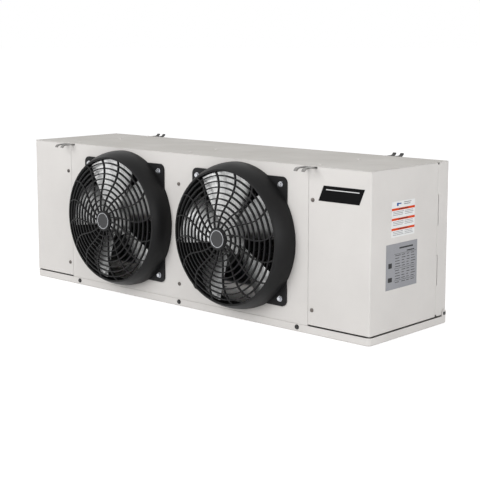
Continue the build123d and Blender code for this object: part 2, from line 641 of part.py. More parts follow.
def spoke_face(start_deg):
    centre = spoke_line(start_deg)
    left, right = [], []
    for n, (x, y) in enumerate(centre):
        a = centre[max(n - 1, 0)]
        b = centre[min(n + 1, len(centre) - 1)]
        dx, dy = b[0] - a[0], b[1] - a[1]
        size = math.hypot(dx, dy)
        left.append((x - dy / size * BAR_W / 2, y + dx / size * BAR_W / 2))
        right.append((x + dy / size * BAR_W / 2, y - dx / size * BAR_W / 2))
    sides = Spline(*left) + Line(left[-1], right[-1]) + Spline(*reversed(right)) + Line(right[0], left[0])
    return make_face(sides)


def grille():
    """Domed front grille: rings and S-shaped spokes cut out of a spherical cap."""
    edge_r = RIM_R - GRILLE_IN
    edge_h = RIM_H + GRILLE_RISE
    sag = DOME_H - edge_h
    ball = (edge_r ** 2 + sag ** 2) / (2 * sag)
    centre = DOME_H - ball
    cap = Pos(0, 0, centre) * Sphere(ball) - Pos(0, 0, centre) * Sphere(ball - GRILLE_T)
    gap = (edge_r - HUB_DISC_R) / (RINGS + 1)
    bars = [Circle(HUB_DISC_R), Circle(edge_r) - Circle(edge_r - BAR_W)]
    for n in range(1, RINGS + 1):
        mid = HUB_DISC_R + n * gap
        bars.append(Circle(mid + BAR_W / 2) - Circle(mid - BAR_W / 2))
    for n in range(SPOKES):
        bars.append(spoke_face(n * 360 / SPOKES))
    return extrude(Pos(0, 0, RIM_H - 2 * GRILLE_T) * (Sketch() + bars), DOME_H) & cap


def guard_shell():
    """The bell between the panel and the front rim."""
    inner_rim = RIM_R - WALL - RIM_IN
    front = RIM_H + RIM_BEVEL
    low_rim = RIM_H - WALL - RIM_IN
    inner_base = BASE_R - WALL
    inner_belly = (BELLY_R - WALL - RIM_IN, BELLY_H - 2)
    with BuildSketch(Plane.XZ) as profile:
        with BuildLine():
            Line((MOUTH_R, 0), (BASE_R, 0))
            Line((BASE_R, 0), (BASE_R, BASE_H))
            ThreePointArc((BASE_R, BASE_H), (BELLY_R, BELLY_H), (RIM_R, RIM_H))
            Line((RIM_R, RIM_H), (RIM_R - RIM_BEVEL, front))
            Line((RIM_R - RIM_BEVEL, front), (inner_rim, front))
            Line((inner_rim, front), (inner_rim, low_rim))
            ThreePointArc((inner_rim, low_rim), inner_belly, (inner_base, BASE_H))
            Line((inner_base, BASE_H), (inner_base, FLANGE_T))
            Line((inner_base, FLANGE_T), (MOUTH_R, FLANGE_T))
            Line((MOUTH_R, FLANGE_T), (MOUTH_R, 0))
        make_face()
    return revolve(profile.sketch, Axis.Z)


def fan_guard():
    ears = extrude(RectangleRounded(2 * EAR_HALF, 2 * EAR_HALF, EAR_R), EAR_T)
    ears -= rod_z(BASE_R - 1, -1, 10, 0, 0)
    guard = guard_shell() + ears + grille()
    guard += rod_z(HUB_DISC_R, DOME_H - GRILLE_T, DOME_H, 0, 0)
    for dx in (-EAR_SCREW, EAR_SCREW):
        for dy in (-EAR_SCREW, EAR_SCREW):
            guard -= rod_z(EAR_HOLE_R, -1, EAR_T + 1, dx, dy)
    return guard


def guard_badge():
    badge = rod_z(BADGE_R, DOME_H, DOME_H + BADGE_T, 0, 0)
    return badge - rod_z(BADGE_R - BADGE_RIM, DOME_H + BADGE_T - BADGE_SINK, DOME_H + BADGE_T + 1, 0, 0)


def guard_screws():
    seat = EAR_T
    screws = []
    for dx in (-EAR_SCREW, EAR_SCREW):
        for dy in (-EAR_SCREW, EAR_SCREW):
            screw = rod_z(EAR_SCREW_R, seat - EAR_SCREW_L, seat, dx, dy)
            screw += rod_z(EAR_WASHER_R, seat, seat + EAR_WASHER_T, dx, dy)
            base = seat + EAR_WASHER_T
            head = Pos(dx, dy, base) * extrude(RegularPolygon(EAR_HEAD_R, 6), EAR_HEAD_T)
            screws.append(screw + head)
    return screws


def blade_section(radius, chord, pitch):
    """Thin cambered strip across the blade at one radius, leading edge forward."""
    sag = BLADE_CAMBER * chord
    half = chord / 2
    with BuildSketch(Plane(origin=(radius, 0, BLADE_Z), x_dir=(0, 1, 0), z_dir=(1, 0, 0))) as section:
        with BuildLine(Rot(0, 0, pitch)):
            ThreePointArc((-half, 0), (0, sag), (half, 0))
            Line((half, 0), (half, -BLADE_T))
            ThreePointArc((half, -BLADE_T), (0, sag - BLADE_T), (-half, -BLADE_T))
            Line((-half, -BLADE_T), (-half, 0))
        make_face()
    return section.sketch


def fan_blades():
    """One-piece aluminium fan: five cambered blades on a pressed disc."""
    sections = [blade_section(*place) for place in (BLADE_ROOT, BLADE_WAIST, BLADE_TIP)]
    blade = loft(sections) & rod_z(BLADE_R, -THROUGH, THROUGH, 0, 0)
    fan = rod_z(SPIDER_R, BLADE_Z - SPIDER_T, BLADE_Z, 0, 0)
    for n in range(BLADES):
        fan += Rot(0, 0, n * 360 / BLADES + BLADE_TURN) * blade
    return fan - rod_z(SHAFT_R + TUBE_PLAY, -THROUGH, THROUGH, 0, 0)


def fan_hub():
    hub = rod_z(HUB_R, BLADE_Z - SPIDER_T - HUB_L, BLADE_Z - SPIDER_T, 0, 0)
    hub -= rod_z(SHAFT_R + TUBE_PLAY, -THROUGH, THROUGH, 0, 0)
    return hub


def motor_shaft():
    return rod_z(SHAFT_R, -MOTOR_FRONT - SHAFT_TAIL, BLADE_Z + SHAFT_NOSE, 0, 0)


def motor_body():
    back = -MOTOR_FRONT - MOTOR_L
    body = rod_z(MOTOR_R, back, -MOTOR_FRONT, 0, 0)
    body = fillet(body.edges(), MOTOR_EDGE_R)
    body += rod_z(MOTOR_BOSS_R, -MOTOR_FRONT - 1, -MOTOR_FRONT + MOTOR_BOSS_L, 0, 0)
    for n in range(MOTOR_RIBS):
        rib = slab(*MOTOR_RIB_ENDS, -MOTOR_RIB_T / 2, MOTOR_RIB_T / 2, back - MOTOR_RIB_H, back + 1)
        body += Rot(0, 0, n * 360 / MOTOR_RIBS) * rib
    return body - rod_z(SHAFT_R + PIN_PLAY, back + MOTOR_BACK_T, 0, 0, 0)


def motor_bracket():
    """Clamp ring round the motor with four straps out to the ear screws."""
    top = -MOTOR_FRONT - CLAMP_BACK
    screw_at = EAR_SCREW * math.sqrt(2)
    leg = screw_at - STRAP_FOOT
    bracket = ring_z(MOTOR_R + CLAMP_T, MOTOR_R + TUBE_PLAY, top - CLAMP_L, top)
    half = STRAP_W / 2
    for n in range(4):
        mid = top - CLAMP_L / 2
        arm = slab(MOTOR_R + CLAMP_T - 1, leg + STRAP_T, -half, half, mid - STRAP_T, mid)
        arm += slab(leg, leg + STRAP_T, -half, half, mid - STRAP_T, -SHEET)
        arm += slab(leg, screw_at + STRAP_FOOT, -half, half, -SHEET - STRAP_T, -SHEET)
        arm -= rod_z(EAR_HOLE_R, -SHEET - STRAP_T - 1, 1, screw_at, 0)
        bracket += Rot(0, 0, 45 + 90 * n) * arm
    return bracket


# ---- coil and refrigerant lines ------------------------------------------------------------------
def coil_fins():
    x0 = WEB_X["left"] + FIN_GAP + SHEET
    x1 = WEB_X["right"] - FIN_GAP - SHEET
    y0 = FRONT + FIN_FRONT
    fins = slab(x0, x1, y0, y0 + FIN_DEPTH, FIN_Z, FIN_Z + FIN_HEIGHT)
    for row in range(FIN_ROWS):
        for col in range(FIN_COLS):
            fins -= rod_x(TUBE_R + TUBE_PLAY, x0 - 1, x1 + 1, TUBE_Y[row], tube_z(row, col))
    return fins


def coil_tubes():
    tubes = []
    for row in range(FIN_ROWS):
        for col in range(FIN_COLS):
            y, z = TUBE_Y[row], tube_z(row, col)
            x0 = WEB_X["left"] - TUBE_OUT
            x1 = WEB_X["right"] + TUBE_OUT
            if col == 0:
                x1 = HEADER_X - HEADER_R + HEADER_BITE
            tube = rod_x(TUBE_R, x0, x1, y, z)
            tubes.append(tube - rod_x(TUBE_R - TUBE_WALL, x0 - 1, x1 + 1, y, z))
    return tubes


def return_bends(side):
    out = SIDES[side]
    x = WEB_X[side] + out * TUBE_OUT
    first = 0 if side == "left" else 1
    bends = []
    for row in range(FIN_ROWS):
        for col in range(first, FIN_COLS - 1, 2):
            low, high = tube_z(row, col), tube_z(row, col + 1)
            ring = Plane.YZ.offset(x) * Pos(TUBE_Y[row], high) * (Circle(TUBE_R) - Circle(TUBE_R - TUBE_WALL))
            axis = Axis((x, TUBE_Y[row], (low + high) / 2), (0, out, 0))
            bends.append(revolve(ring, axis, 180))
    return bends


def pipe(points, radius, wall, bend):
    """A tube of straight runs and tangent arcs through the given points."""
    path = FilletPolyline(*points, radius=bend)
    start = Plane(origin=path @ 0, z_dir=path % 0)
    outer = sweep(start * Circle(radius), path)
    return outer - sweep(start * Circle(radius - wall), path)


def line_socket(line, x, z, radius, length):
    """Swages the end of a line so that a field tube of the same size slides in."""
    end = REAR + LINE_OUT
    line += rod_y(radius + LINE_WALL + SOCKET_PLAY, end - length, end, x, z)
    line -= rod_y(radius - LINE_WALL, end - length - 1, end, x, z)
    return line - rod_y(radius + SOCKET_PLAY, end - length, end + 1, x, z)


def suction_header():
    y0 = TUBE_Y[0] - HEADER_END
    y1 = TUBE_Y[-1] + HEADER_END
    z = tube_z(0, 0) + COL_PITCH / 4
    header = rod_y(HEADER_R, y0, y1, HEADER_X, z)
    header -= rod_y(HEADER_R - HEADER_WALL, y0 + HEADER_WALL, y1 - HEADER_WALL, HEADER_X, z)
    for row in range(FIN_ROWS):
        header -= rod_x(TUBE_R + TUBE_PLAY, HEADER_X - 2 * HEADER_R, HEADER_X, TUBE_Y[row], tube_z(row, 0))
    header -= rod_z(SUCTION_R + TUBE_PLAY, z, z + 2 * HEADER_R, HEADER_X, DIST_Y)
    return header


def suction_line():
    z = tube_z(0, 0) + COL_PITCH / 4
    turn = SUCTION_Z - SUCTION_RISE
    points = [(HEADER_X, DIST_Y, z + SUCTION_R), (HEADER_X, DIST_Y, turn), (SUCTION_X, DIST_Y, SUCTION_Z),
              (SUCTION_X, REAR + LINE_OUT, SUCTION_Z)]
    line = pipe(points, SUCTION_R, LINE_WALL, SUCTION_BEND_R)
    return line_socket(line, SUCTION_X, SUCTION_Z, SUCTION_R, SUCTION_SOCKET_L)


def liquid_line():
    start = WEB_X["right"] + DIST_AT
    points = [(start, DIST_Y, LIQUID_Z), (LIQUID_X, DIST_Y, LIQUID_Z), (LIQUID_X, REAR + LINE_OUT, LIQUID_Z)]
    line = pipe(points, LIQUID_R, LINE_WALL, LIQUID_BEND_R)
    return line_socket(line, LIQUID_X, LIQUID_Z, LIQUID_R, LIQUID_SOCKET_L)


def distributor():
    """Brass distributor, its nose towards the coil."""
    x1 = WEB_X["right"] + DIST_AT
    x0 = x1 - DIST_L
    nose_r = LIQUID_R - LINE_WALL + DIST_WALL
    body = Pos((x0 + x1) / 2, DIST_Y, LIQUID_Z) * Rot(0, -90, 0) * Cone(nose_r, DIST_R, DIST_L)
    body -= rod_x(LIQUID_R - LINE_WALL, x0 + DIST_FACE, x1 + 1, DIST_Y, LIQUID_Z)
    for row in range(FIN_ROWS):
        dy, dz = polar(FEEDER_RING, 225 - 90 * row)
        body -= rod_x(FEEDER_R + TUBE_PLAY, x0 - 1, x0 + FEEDER_SEAT, DIST_Y + dy, LIQUID_Z + dz)
    return body


def feeder_tubes():
    """Four small tubes from the distributor to the top tube of each row."""
    x1 = WEB_X["right"] + DIST_AT - DIST_L
    x0 = WEB_X["right"] + TUBE_OUT
    tubes = []
    for row in range(FIN_ROWS):
        dy, dz = polar(FEEDER_RING, 225 - 90 * row)
        z = tube_z(row, FIN_COLS - 1)
        y = DIST_Y + dy
        points = [(x1 + FEEDER_SEAT, y, LIQUID_Z + dz), (x1 - FEEDER_NOSE_RUN, y, LIQUID_Z + dz),
                  (x0 + FEEDER_TUBE_RUN, TUBE_Y[row], z), (x0, TUBE_Y[row], z)]
        tubes.append(pipe(points, FEEDER_R, FEEDER_WALL, FEEDER_BEND_R))
    return tubes


def access_valve():
    x0 = HEADER_X + SUCTION_R
    z = SUCTION_Z - VALVE_DROP
    end = x0 + VALVE_L
    valve = rod_x(VALVE_R, x0 + 4 * PIN_PLAY, end, DIST_Y, z)
    return valve + rod_x(VALVE_CAP_R, end - VALVE_CAP[0], end - VALVE_CAP[1], DIST_Y, z)


def grommet(x, z, radius):
    outer = radius + GROMMET_T
    ring = rod_y(outer - GROMMET_PLAY, REAR - SHEET, REAR, x, z)
    ring += rod_y(outer + GROMMET_LIP, REAR, REAR + GROMMET_LIP_T, x, z)
    ring += rod_y(outer + GROMMET_LIP, REAR - SHEET - GROMMET_LIP_T, REAR - SHEET, x, z)
    return ring - rod_y(radius + GROMMET_PLAY, REAR - THROUGH, REAR + THROUGH, x, z)


def pipe_grommets():
    return [grommet(SUCTION_X, SUCTION_Z, SUCTION_R), grommet(LIQUID_X, LIQUID_Z, LIQUID_R)]


# ---- electrics -----------------------------------------------------------------------------------
def box_bounds():
    x1 = WEB_X["left"]
    y0 = FRONT + BOX_FRONT
    return x1 - BOX_L, x1, y0, y0 + BOX_W, BOX_Z, BOX_Z + BOX_H


def terminal_box():
    x0, x1, y0, y1, z0, z1 = box_bounds()
    box = slab(x0, x1, y0, y1, z0, z1)
    box -= slab(x0 - 1, x1 - SHEET, y0 + SHEET, y1 - SHEET, z0 + SHEET, z1 - SHEET)
    return box - rod_z(GLAND_HOLE_R, z0 - 1, z0 + SHEET + 1, (x0 + x1) / 2, (y0 + y1) / 2)


def terminal_box_lid():
    x0, x1, y0, y1, z0, z1 = box_bounds()
    lid = slab(x0 - SHEET, x0, y0 - LID_OVER, y1 + LID_OVER, z0 - LID_OVER, z1 + LID_OVER)
    inside = LID_SUNK
    return lid - slab(x0 - SHEET - 1, x0 - SHEET / 2, y0 + inside, y1 - inside, z0 + inside, z1 - inside)


def terminal_block():
    x1 = WEB_X["left"] - SHEET
    y = FRONT + BOX_FRONT + BOX_W / 2
    z = BOX_Z + BOX_H / 2 + BLOCK_UP
    deep, wide, near, far = POCKET
    face = x1 - BLOCK_T
    pitch = BLOCK_L / BLOCK_POLES
    block = slab(face, x1, y - BLOCK_L / 2, y + BLOCK_L / 2, z - BLOCK_W / 2, z + BLOCK_W / 2)
    for n in range(BLOCK_POLES):
        at = y - BLOCK_L / 2 + (n + 0.5) * pitch
        for up in (-1, 1):
            block -= slab(face - 1, face + deep, at - wide / 2, at + wide / 2, z + up * near, z + up * far)
    return block


def box_gland():
    x0, x1, y0, y1, z0, _ = box_bounds()
    x, y = (x0 + x1) / 2, (y0 + y1) / 2
    lock_r, lock_t = GLAND_LOCK
    gland = rod_z(GLAND_R, z0, z0 + SHEET, x, y)
    gland += rod_z(GLAND_NUT_R, z0 - GLAND_T, z0, x, y) + rod_z(lock_r, z0 + SHEET, z0 + SHEET + lock_t, x, y)
    return gland - rod_z(GLAND_BORE_R, z0 - THROUGH, z0 + THROUGH, x, y)


def power_gland():
    x, z = WEB_X["left"] - GLAND_AT, GLAND_Z
    nut = extrude(Plane.XZ.offset(-REAR) * Pos(x, z) * RegularPolygon(GLAND_NUT_R, 6), -GLAND_T)
    gland = rod_y(GLAND_R, REAR - SHEET - GLAND_IN, REAR + GLAND_OUT, x, z) + nut
    gland += rod_y(GLAND_NUT_R, REAR - SHEET - GLAND_BACK_T, REAR - SHEET, x, z)
    return gland - rod_y(GLAND_BORE_R, REAR - THROUGH, REAR + THROUGH, x, z)


# ---- plates and labels ---------------------------------------------------------------------------
def name_plate():
    x0 = PANEL_X[1] + NAME_AT
    z0 = TOP_Z - NAME_DROP
    corners = [(x0, z0), (x0 + NAME_L, z0), (x0 + NAME_L + NAME_SLANT, z0 + NAME_H), (x0 + NAME_SLANT, z0 + NAME_H)]
    face = Plane.XZ.offset(-FRONT) * make_face(Polyline(*corners, close=True))
    return extrude(face, PLATE_T)


def side_label(size, front):
    width, height, up = size
    y0 = FRONT + front
    return slab(HALF_L, HALF_L + LABEL_T, y0, y0 + width, COVER_Z + up, COVER_Z + up + height)


def build():
    """Every node by name, as one solid or a list of separate solids."""
    nodes = {
        "top_panel": top_panel(),
        "fan_panel": fan_panel(),
        "middle_baffle": middle_baffle(),
        "drain_pan": drain_pan(),
        "drain_fitting": drain_fitting(),
        "pan_hinge_pins": pan_hinge_pins(),
        "middle_screws": middle_screws(),
        "pan_screws": pan_screws(),
        "pan_washers": pan_washers(),
        "top_rivets": top_rivets(),
        "coil_fins": coil_fins(),
        "coil_tubes": coil_tubes(),
        "suction_header": suction_header(),
        "suction_line": suction_line(),
        "liquid_line": liquid_line(),
        "distributor": distributor(),
        "feeder_tubes": feeder_tubes(),
        "access_valve": access_valve(),
        "pipe_grommets": pipe_grommets(),
        "terminal_box": terminal_box(),
        "terminal_box_lid": terminal_box_lid(),
        "terminal_block": terminal_block(),
        "box_gland": box_gland(),
        "power_gland": power_gland(),
        "name_plate": name_plate(),
        "bar_label": side_label(BAR_LABEL, LABEL_FRONT),
        "data_label": side_label(DATA_LABEL, DATA_FRONT),
    }
    for side in SIDES:
        nodes[f"coil_end_plate_{side}"] = coil_end_plate(side)
        nodes[f"return_bends_{side}"] = return_bends(side)
        nodes[f"rear_corner_{side}"] = rear_corner(side)
        nodes[f"end_cover_{side}"] = end_cover(side)
        nodes[f"cover_hinge_pin_{side}"] = hinge_pin(side)
        nodes[f"cover_screws_{side}"] = cover_screws(side)
        nodes[f"hanger_front_{side}"] = hanger(side, rear=False)
        nodes[f"hanger_rear_{side}"] = hanger(side, rear=True)
    fan = {
        "fan_guard": fan_guard(),
        "guard_badge": guard_badge(),
        "guard_screws": guard_screws(),
        "fan_blades": fan_blades(),
        "fan_hub": fan_hub(),
        "motor_shaft": motor_shaft(),
        "motor_body": motor_body(),
        "motor_bracket": motor_bracket(),
    }
    for side in SIDES:
        for name, shape in fan.items():
            solids = shape if isinstance(shape, list) else [shape]
            placed = [place_fan(solid, side) for solid in solids]
            nodes[f"{name}_{side}"] = placed if len(placed) > 1 else placed[0]
    return nodes


os.makedirs("parts", exist_ok=True)
for node, shape in build().items():
    solids = shape if isinstance(shape, list) else [shape]
    whole = Compound(children=[solid for item in solids for solid in item.solids()]) if len(solids) > 1 else shape
    export_step(whole, f"parts/{node}.step")
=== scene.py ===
"""Walk-in unit cooler: studio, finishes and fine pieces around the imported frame.

The frame's solids keep their shapes and get their finishes here. The thin fins,
the printed marks on the labels and the name plate, and the bright rings of the
hub badges are pieces of their own, modelled below. Lengths are metres.
"""

import logging
import math
from collections.abc import Callable, Sequence
from dataclasses import dataclass, field
from enum import Enum
from typing import Any

import bpy
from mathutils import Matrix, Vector


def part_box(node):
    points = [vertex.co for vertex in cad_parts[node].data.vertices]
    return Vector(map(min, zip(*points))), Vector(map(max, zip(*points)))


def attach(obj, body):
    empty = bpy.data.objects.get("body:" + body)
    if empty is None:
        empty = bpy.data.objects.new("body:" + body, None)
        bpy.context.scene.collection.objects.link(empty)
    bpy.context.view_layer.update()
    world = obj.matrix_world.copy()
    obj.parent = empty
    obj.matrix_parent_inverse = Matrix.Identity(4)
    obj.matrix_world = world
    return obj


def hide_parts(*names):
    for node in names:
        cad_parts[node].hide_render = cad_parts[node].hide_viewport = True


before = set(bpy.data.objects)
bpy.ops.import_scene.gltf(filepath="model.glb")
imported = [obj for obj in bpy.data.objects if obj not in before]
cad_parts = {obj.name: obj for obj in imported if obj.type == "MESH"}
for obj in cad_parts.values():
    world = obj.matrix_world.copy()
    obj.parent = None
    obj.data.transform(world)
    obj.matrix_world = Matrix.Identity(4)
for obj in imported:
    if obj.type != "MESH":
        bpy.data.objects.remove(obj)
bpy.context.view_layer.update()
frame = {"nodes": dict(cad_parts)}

LOG = logging.getLogger("unit_cooler")
SIDES = ("left", "right")
Rgb = tuple[float, float, float]
Rgba = tuple[float, float, float, float]
Point = tuple[float, float, float]
Mark = tuple[Point, Point]
Span = tuple[float, float]
Share = tuple[float, float, float, float]
WHITE: Rgba = (1.0, 1.0, 1.0, 1.0)


# ---- node graphs ---------------------------------------------------------------------------


def linear(colour: Rgb) -> Rgba:
    """Turns a colour of 0 to 255 as the eye reads it into linear light, by the sRGB curve.

    Args:
        colour: Red, green and blue, 0 to 255.

    Returns:
        Linear red, green and blue, and full opacity.
    """
    parts = []
    for value in colour:
        share = value / 255
        parts.append(share / 12.92 if share <= 0.04045 else ((share + 0.055) / 1.055) ** 2.4)
    return (parts[0], parts[1], parts[2], 1.0)


class Graph:
    """Adds and joins the nodes of one node tree."""

    def __init__(self, tree: bpy.types.NodeTree) -> None:
        """Keeps the tree that the nodes go into."""
        self.tree = tree

    def add(self, kind: str, inputs: dict[Any, Any] | None = None, **settings: Any) -> bpy.types.Node:
        """Adds a node.

        Args:
            kind: Blender's name of the node type.
            inputs: Values or sockets for its inputs, by name or number.
            **settings: Plain properties of the node.

        Returns:
            The new node.
        """
        node = self.tree.nodes.new(kind)
        for name, value in settings.items():
            setattr(node, name, value)
        for name, value in (inputs or {}).items():
            self.feed(node, name, value)
        return node

    def feed(self, node: bpy.types.Node, name: Any, value: Any) -> None:
        """Links a socket into an input, or sets the input's own value.

        Args:
            node: The node that is fed.
            name: Input name or number.
            value: Another node's output, or a plain value.
        """
        if isinstance(value, bpy.types.NodeSocket):
            self.tree.links.new(value, node.inputs[name])
        else:
            node.inputs[name].default_value = value

    def math(self, operation: str, first: Any, second: Any, clamp: bool = False) -> bpy.types.NodeSocket:
        """Adds a Math node.

        Args:
            operation: Blender's name of the sum.
            first: First value or socket.
            second: Second value or socket.
            clamp: Keeps the result between 0 and 1.

        Returns:
            The result's socket.
        """
        inputs = {0: first, 1: second}
        return self.add("ShaderNodeMath", inputs, operation=operation, use_clamp=clamp).outputs[0]

    def weigh(self, share: float, first: Any, second: Any) -> bpy.types.NodeSocket:
        """Adds two values by weight.

        Args:
            share: Weight of the first value, 0 to 1. The second takes the rest.
            first: First value's socket.
            second: Second value's socket.

        Returns:
            The sum's socket.
        """
        one = self.math("MULTIPLY", first, share)
        other = self.math("MULTIPLY", second, 1 - share)
        return self.math("ADD", one, other)

    def noise(self, where: Any, scale: Any, detail: float, roughness: float = 0.5) -> bpy.types.Node:
        """Adds a Noise Texture node.

        Args:
            where: Socket of the places that are looked up.
            scale: How fine the noise is, a value or a socket.
            detail: Octaves.
            roughness: How strong the fine octaves are.

        Returns:
            The new node.
        """
        inputs = {"Vector": where, "Scale": scale, "Detail": detail, "Roughness": roughness}
        return self.add("ShaderNodeTexNoise", inputs)

    def places(self) -> bpy.types.NodeSocket:
        """Gives the object's own coordinates."""
        return self.add("ShaderNodeTexCoord").outputs["Object"]

    def spread(
        self, value: Any, low: float, high: float, to_low: float = 0.0, to_high: float = 1.0
    ) -> bpy.types.NodeSocket:
        """Maps a value from one span to another, held inside it.

        Args:
            value: The socket that is mapped.
            low: Start of its span.
            high: End of its span.
            to_low: Start of the new span.
            to_high: End of the new span.

        Returns:
            The mapped value's socket.
        """
        inputs = {0: value, 1: low, 2: high, 3: to_low, 4: to_high}
        return self.add("ShaderNodeMapRange", inputs).outputs[0]

    def blend(self, share: Any, first: Any, second: Any) -> bpy.types.NodeSocket:
        """Mixes two colours.

        Args:
            share: Part of the second colour, 0 to 1.
            first: First colour or socket.
            second: Second colour or socket.

        Returns:
            The mixed colour's socket.
        """
        node = self.add("ShaderNodeMix", data_type="RGBA")
        for name, value in ((0, share), (6, first), (7, second)):
            self.feed(node, name, value)
        return node.outputs[2]


PATTERN_OUTPUTS = {"Height": "NodeSocketFloat", "Tone": "NodeSocketFloat"}


class Effect(Enum):
    """Shared surface effects, each one a node group."""

    EDGE = "edge_softening_wear_and_highlight"
    GRAIN = "fine_grain"
    SPANGLE = "zinc_spangle"
    BRUSH = "brushed_lines"
    DUST = "settled_dust"


class EffectShelf:
    """Builds each shared effect once and hands it out as a group node."""

    def __init__(self) -> None:
        """Starts with an empty shelf."""
        self.groups: dict[Effect, bpy.types.NodeTree] = {}
        self.makers = {
            Effect.EDGE: self.edge,
            Effect.GRAIN: self.grain,
            Effect.SPANGLE: self.spangle,
            Effect.BRUSH: self.brush,
            Effect.DUST: self.dust,
        }

    def place(self, graph: Graph, effect: Effect, **inputs: float) -> bpy.types.Node:
        """Places an effect in a material.

        Args:
            graph: The material's graph.
            effect: Which effect.
            **inputs: Values of the group's inputs, by name.

        Returns:
            The group node.
        """
        if effect not in self.groups:
            self.groups[effect] = self.makers[effect]()
        node = graph.add("ShaderNodeGroup")
        node.node_tree = self.groups[effect]
        for name, value in inputs.items():
            node.inputs[name].default_value = value
        return node

    @staticmethod
    def start(
        effect: Effect, inputs: dict[str, float], outputs: dict[str, str]
    ) -> tuple[Graph, bpy.types.Node, bpy.types.Node]:
        """Opens a node group with its sockets.

        Args:
            effect: Names the group.
            inputs: Number inputs with their usual values.
            outputs: Output names with their socket types.

        Returns:
            The group's graph, its input node and its output node.
        """
        tree = bpy.data.node_groups.new(effect.value, "ShaderNodeTree")
        for name, value in inputs.items():
            socket = tree.interface.new_socket(name, in_out="INPUT", socket_type="NodeSocketFloat")
            socket.default_value = value
        for name, kind in outputs.items():
            tree.interface.new_socket(name, in_out="OUTPUT", socket_type=kind)
        graph = Graph(tree)
        return graph, graph.add("NodeGroupInput"), graph.add("NodeGroupOutput")

    def edge(self) -> bpy.types.NodeTree:
        """Returns the group that rounds edges in the light and finds the edge patches that take the edge
        colour: scuffed wear, and on the top paint a painted highlight.
        """
        inputs = {"Radius": 0.001, "Scale": 60.0, "Rub": 0.5}
        outputs = {"Normal": "NodeSocketVector", "Wear_highlight_mask": "NodeSocketFloat"}
        graph, given, out = self.start(Effect.EDGE, inputs, outputs)
        soft = graph.add("ShaderNodeBevel", {"Radius": given.outputs["Radius"]}, samples=4)
        flat = graph.add("ShaderNodeNewGeometry")
        both = {0: soft.outputs[0], 1: flat.outputs["Normal"]}
        dot = graph.add("ShaderNodeVectorMath", both, operation="DOT_PRODUCT")
        turn = graph.spread(dot.outputs["Value"], 0.995, 0.86)
        where = graph.places()
        wear_and_highlight = graph.noise(where, given.outputs["Scale"], 5.0)
        patch = graph.spread(wear_and_highlight.outputs[0], 0.46, 0.62)
        wear_and_highlight_patches = graph.math("MULTIPLY", turn, patch)
        # This mask marks scuffed wear, and for the top paint a painted highlight along the edges.
        wear_and_highlight_mask = graph.math("MULTIPLY", wear_and_highlight_patches, given.outputs["Rub"], clamp=True)
        graph.feed(out, "Normal", soft.outputs[0])
        graph.feed(out, "Wear_highlight_mask", wear_and_highlight_mask)
        return graph.tree

    def grain(self) -> bpy.types.NodeTree:
        """Returns the group of fine even grain with a broad, faint blotch."""
        inputs = {"Scale": 900.0, "Blotch": 6.0}
        graph, given, out = self.start(Effect.GRAIN, inputs, PATTERN_OUTPUTS)
        where = graph.places()
        fine = graph.noise(where, given.outputs["Scale"], 2.0)
        broad = graph.noise(where, given.outputs["Blotch"], 4.0, 0.6)
        graph.feed(out, "Height", fine.outputs[0])
        graph.feed(out, "Tone", graph.spread(broad.outputs[0], 0.32, 0.68))
        return graph.tree

    def spangle(self) -> bpy.types.NodeTree:
        """Returns the group of frosty crystals on hot-dipped zinc."""
        inputs = {"Scale": 110.0, "Blotch": 9.0}
        graph, given, out = self.start(Effect.SPANGLE, inputs, PATTERN_OUTPUTS)
        where = graph.places()
        warp = graph.noise(where, 40.0, 2.0)
        pull = {0: warp.outputs["Color"], "Scale": 0.012}
        shift = graph.add("ShaderNodeVectorMath", pull, operation="SCALE")
        moved = graph.add("ShaderNodeVectorMath", {0: where, 1: shift.outputs[0]}, operation="ADD")
        looked_up = {"Vector": moved.outputs[0], "Scale": given.outputs["Scale"]}
        cells = graph.add("ShaderNodeTexVoronoi", looked_up)
        shade = graph.add("ShaderNodeSeparateColor", {0: cells.outputs["Color"]}).outputs[0]
        cloud = graph.noise(where, given.outputs["Blotch"], 3.0)
        graph.feed(out, "Height", shade)
        graph.feed(out, "Tone", graph.weigh(0.6, shade, cloud.outputs[0]))
        return graph.tree

    def brush(self) -> bpy.types.NodeTree:
        """Returns the group of rolling or brushing lines, drawn out along one axis."""
        inputs = {"Along X": 1.0, "Along Y": 1.0, "Along Z": 1.0, "Blotch": 12.0}
        graph, given, out = self.start(Effect.BRUSH, inputs, PATTERN_OUTPUTS)
        where = graph.places()
        stretch = graph.add("ShaderNodeCombineXYZ", {n: given.outputs[n] for n in range(3)})
        drawn = graph.add("ShaderNodeVectorMath", {0: where, 1: stretch.outputs[0]}, operation="MULTIPLY")
        lines = graph.noise(drawn.outputs[0], 60.0, 4.0)
        cloud = graph.noise(where, given.outputs["Blotch"], 3.0)
        mixed = graph.weigh(0.5, lines.outputs[0], cloud.outputs[0])
        graph.feed(out, "Height", lines.outputs[0])
        graph.feed(out, "Tone", graph.spread(mixed, 0.34, 0.66))
        return graph.tree

    def dust(self) -> bpy.types.NodeTree:
        """Returns the group that finds where dust settles on faces that look up."""
        inputs = {"Scale": 14.0, "Amount": 0.2}
        graph, given, out = self.start(Effect.DUST, inputs, {"Settled": "NodeSocketFloat"})
        facing = graph.add("ShaderNodeNewGeometry").outputs["Normal"]
        up = graph.add("ShaderNodeSeparateXYZ", {0: facing}).outputs[2]
        where = graph.places()
        cloud = graph.noise(where, given.outputs["Scale"], 6.0)
        level = graph.spread(up, 0.25, 0.95)
        patchy = graph.spread(cloud.outputs[0], 0.3, 0.75, 0.2)
        lying = graph.math("MULTIPLY", level, patchy)
        graph.feed(out, "Settled", graph.math("MULTIPLY", lying, given.outputs["Amount"], clamp=True))
        return graph.tree


# ---- finishes ------------------------------------------------------------------------------


class Texture(Enum):
    """How the surface of a finish is textured."""

    GRAINED = "grained"
    SPANGLED = "spangled"
    BRUSHED = "brushed"


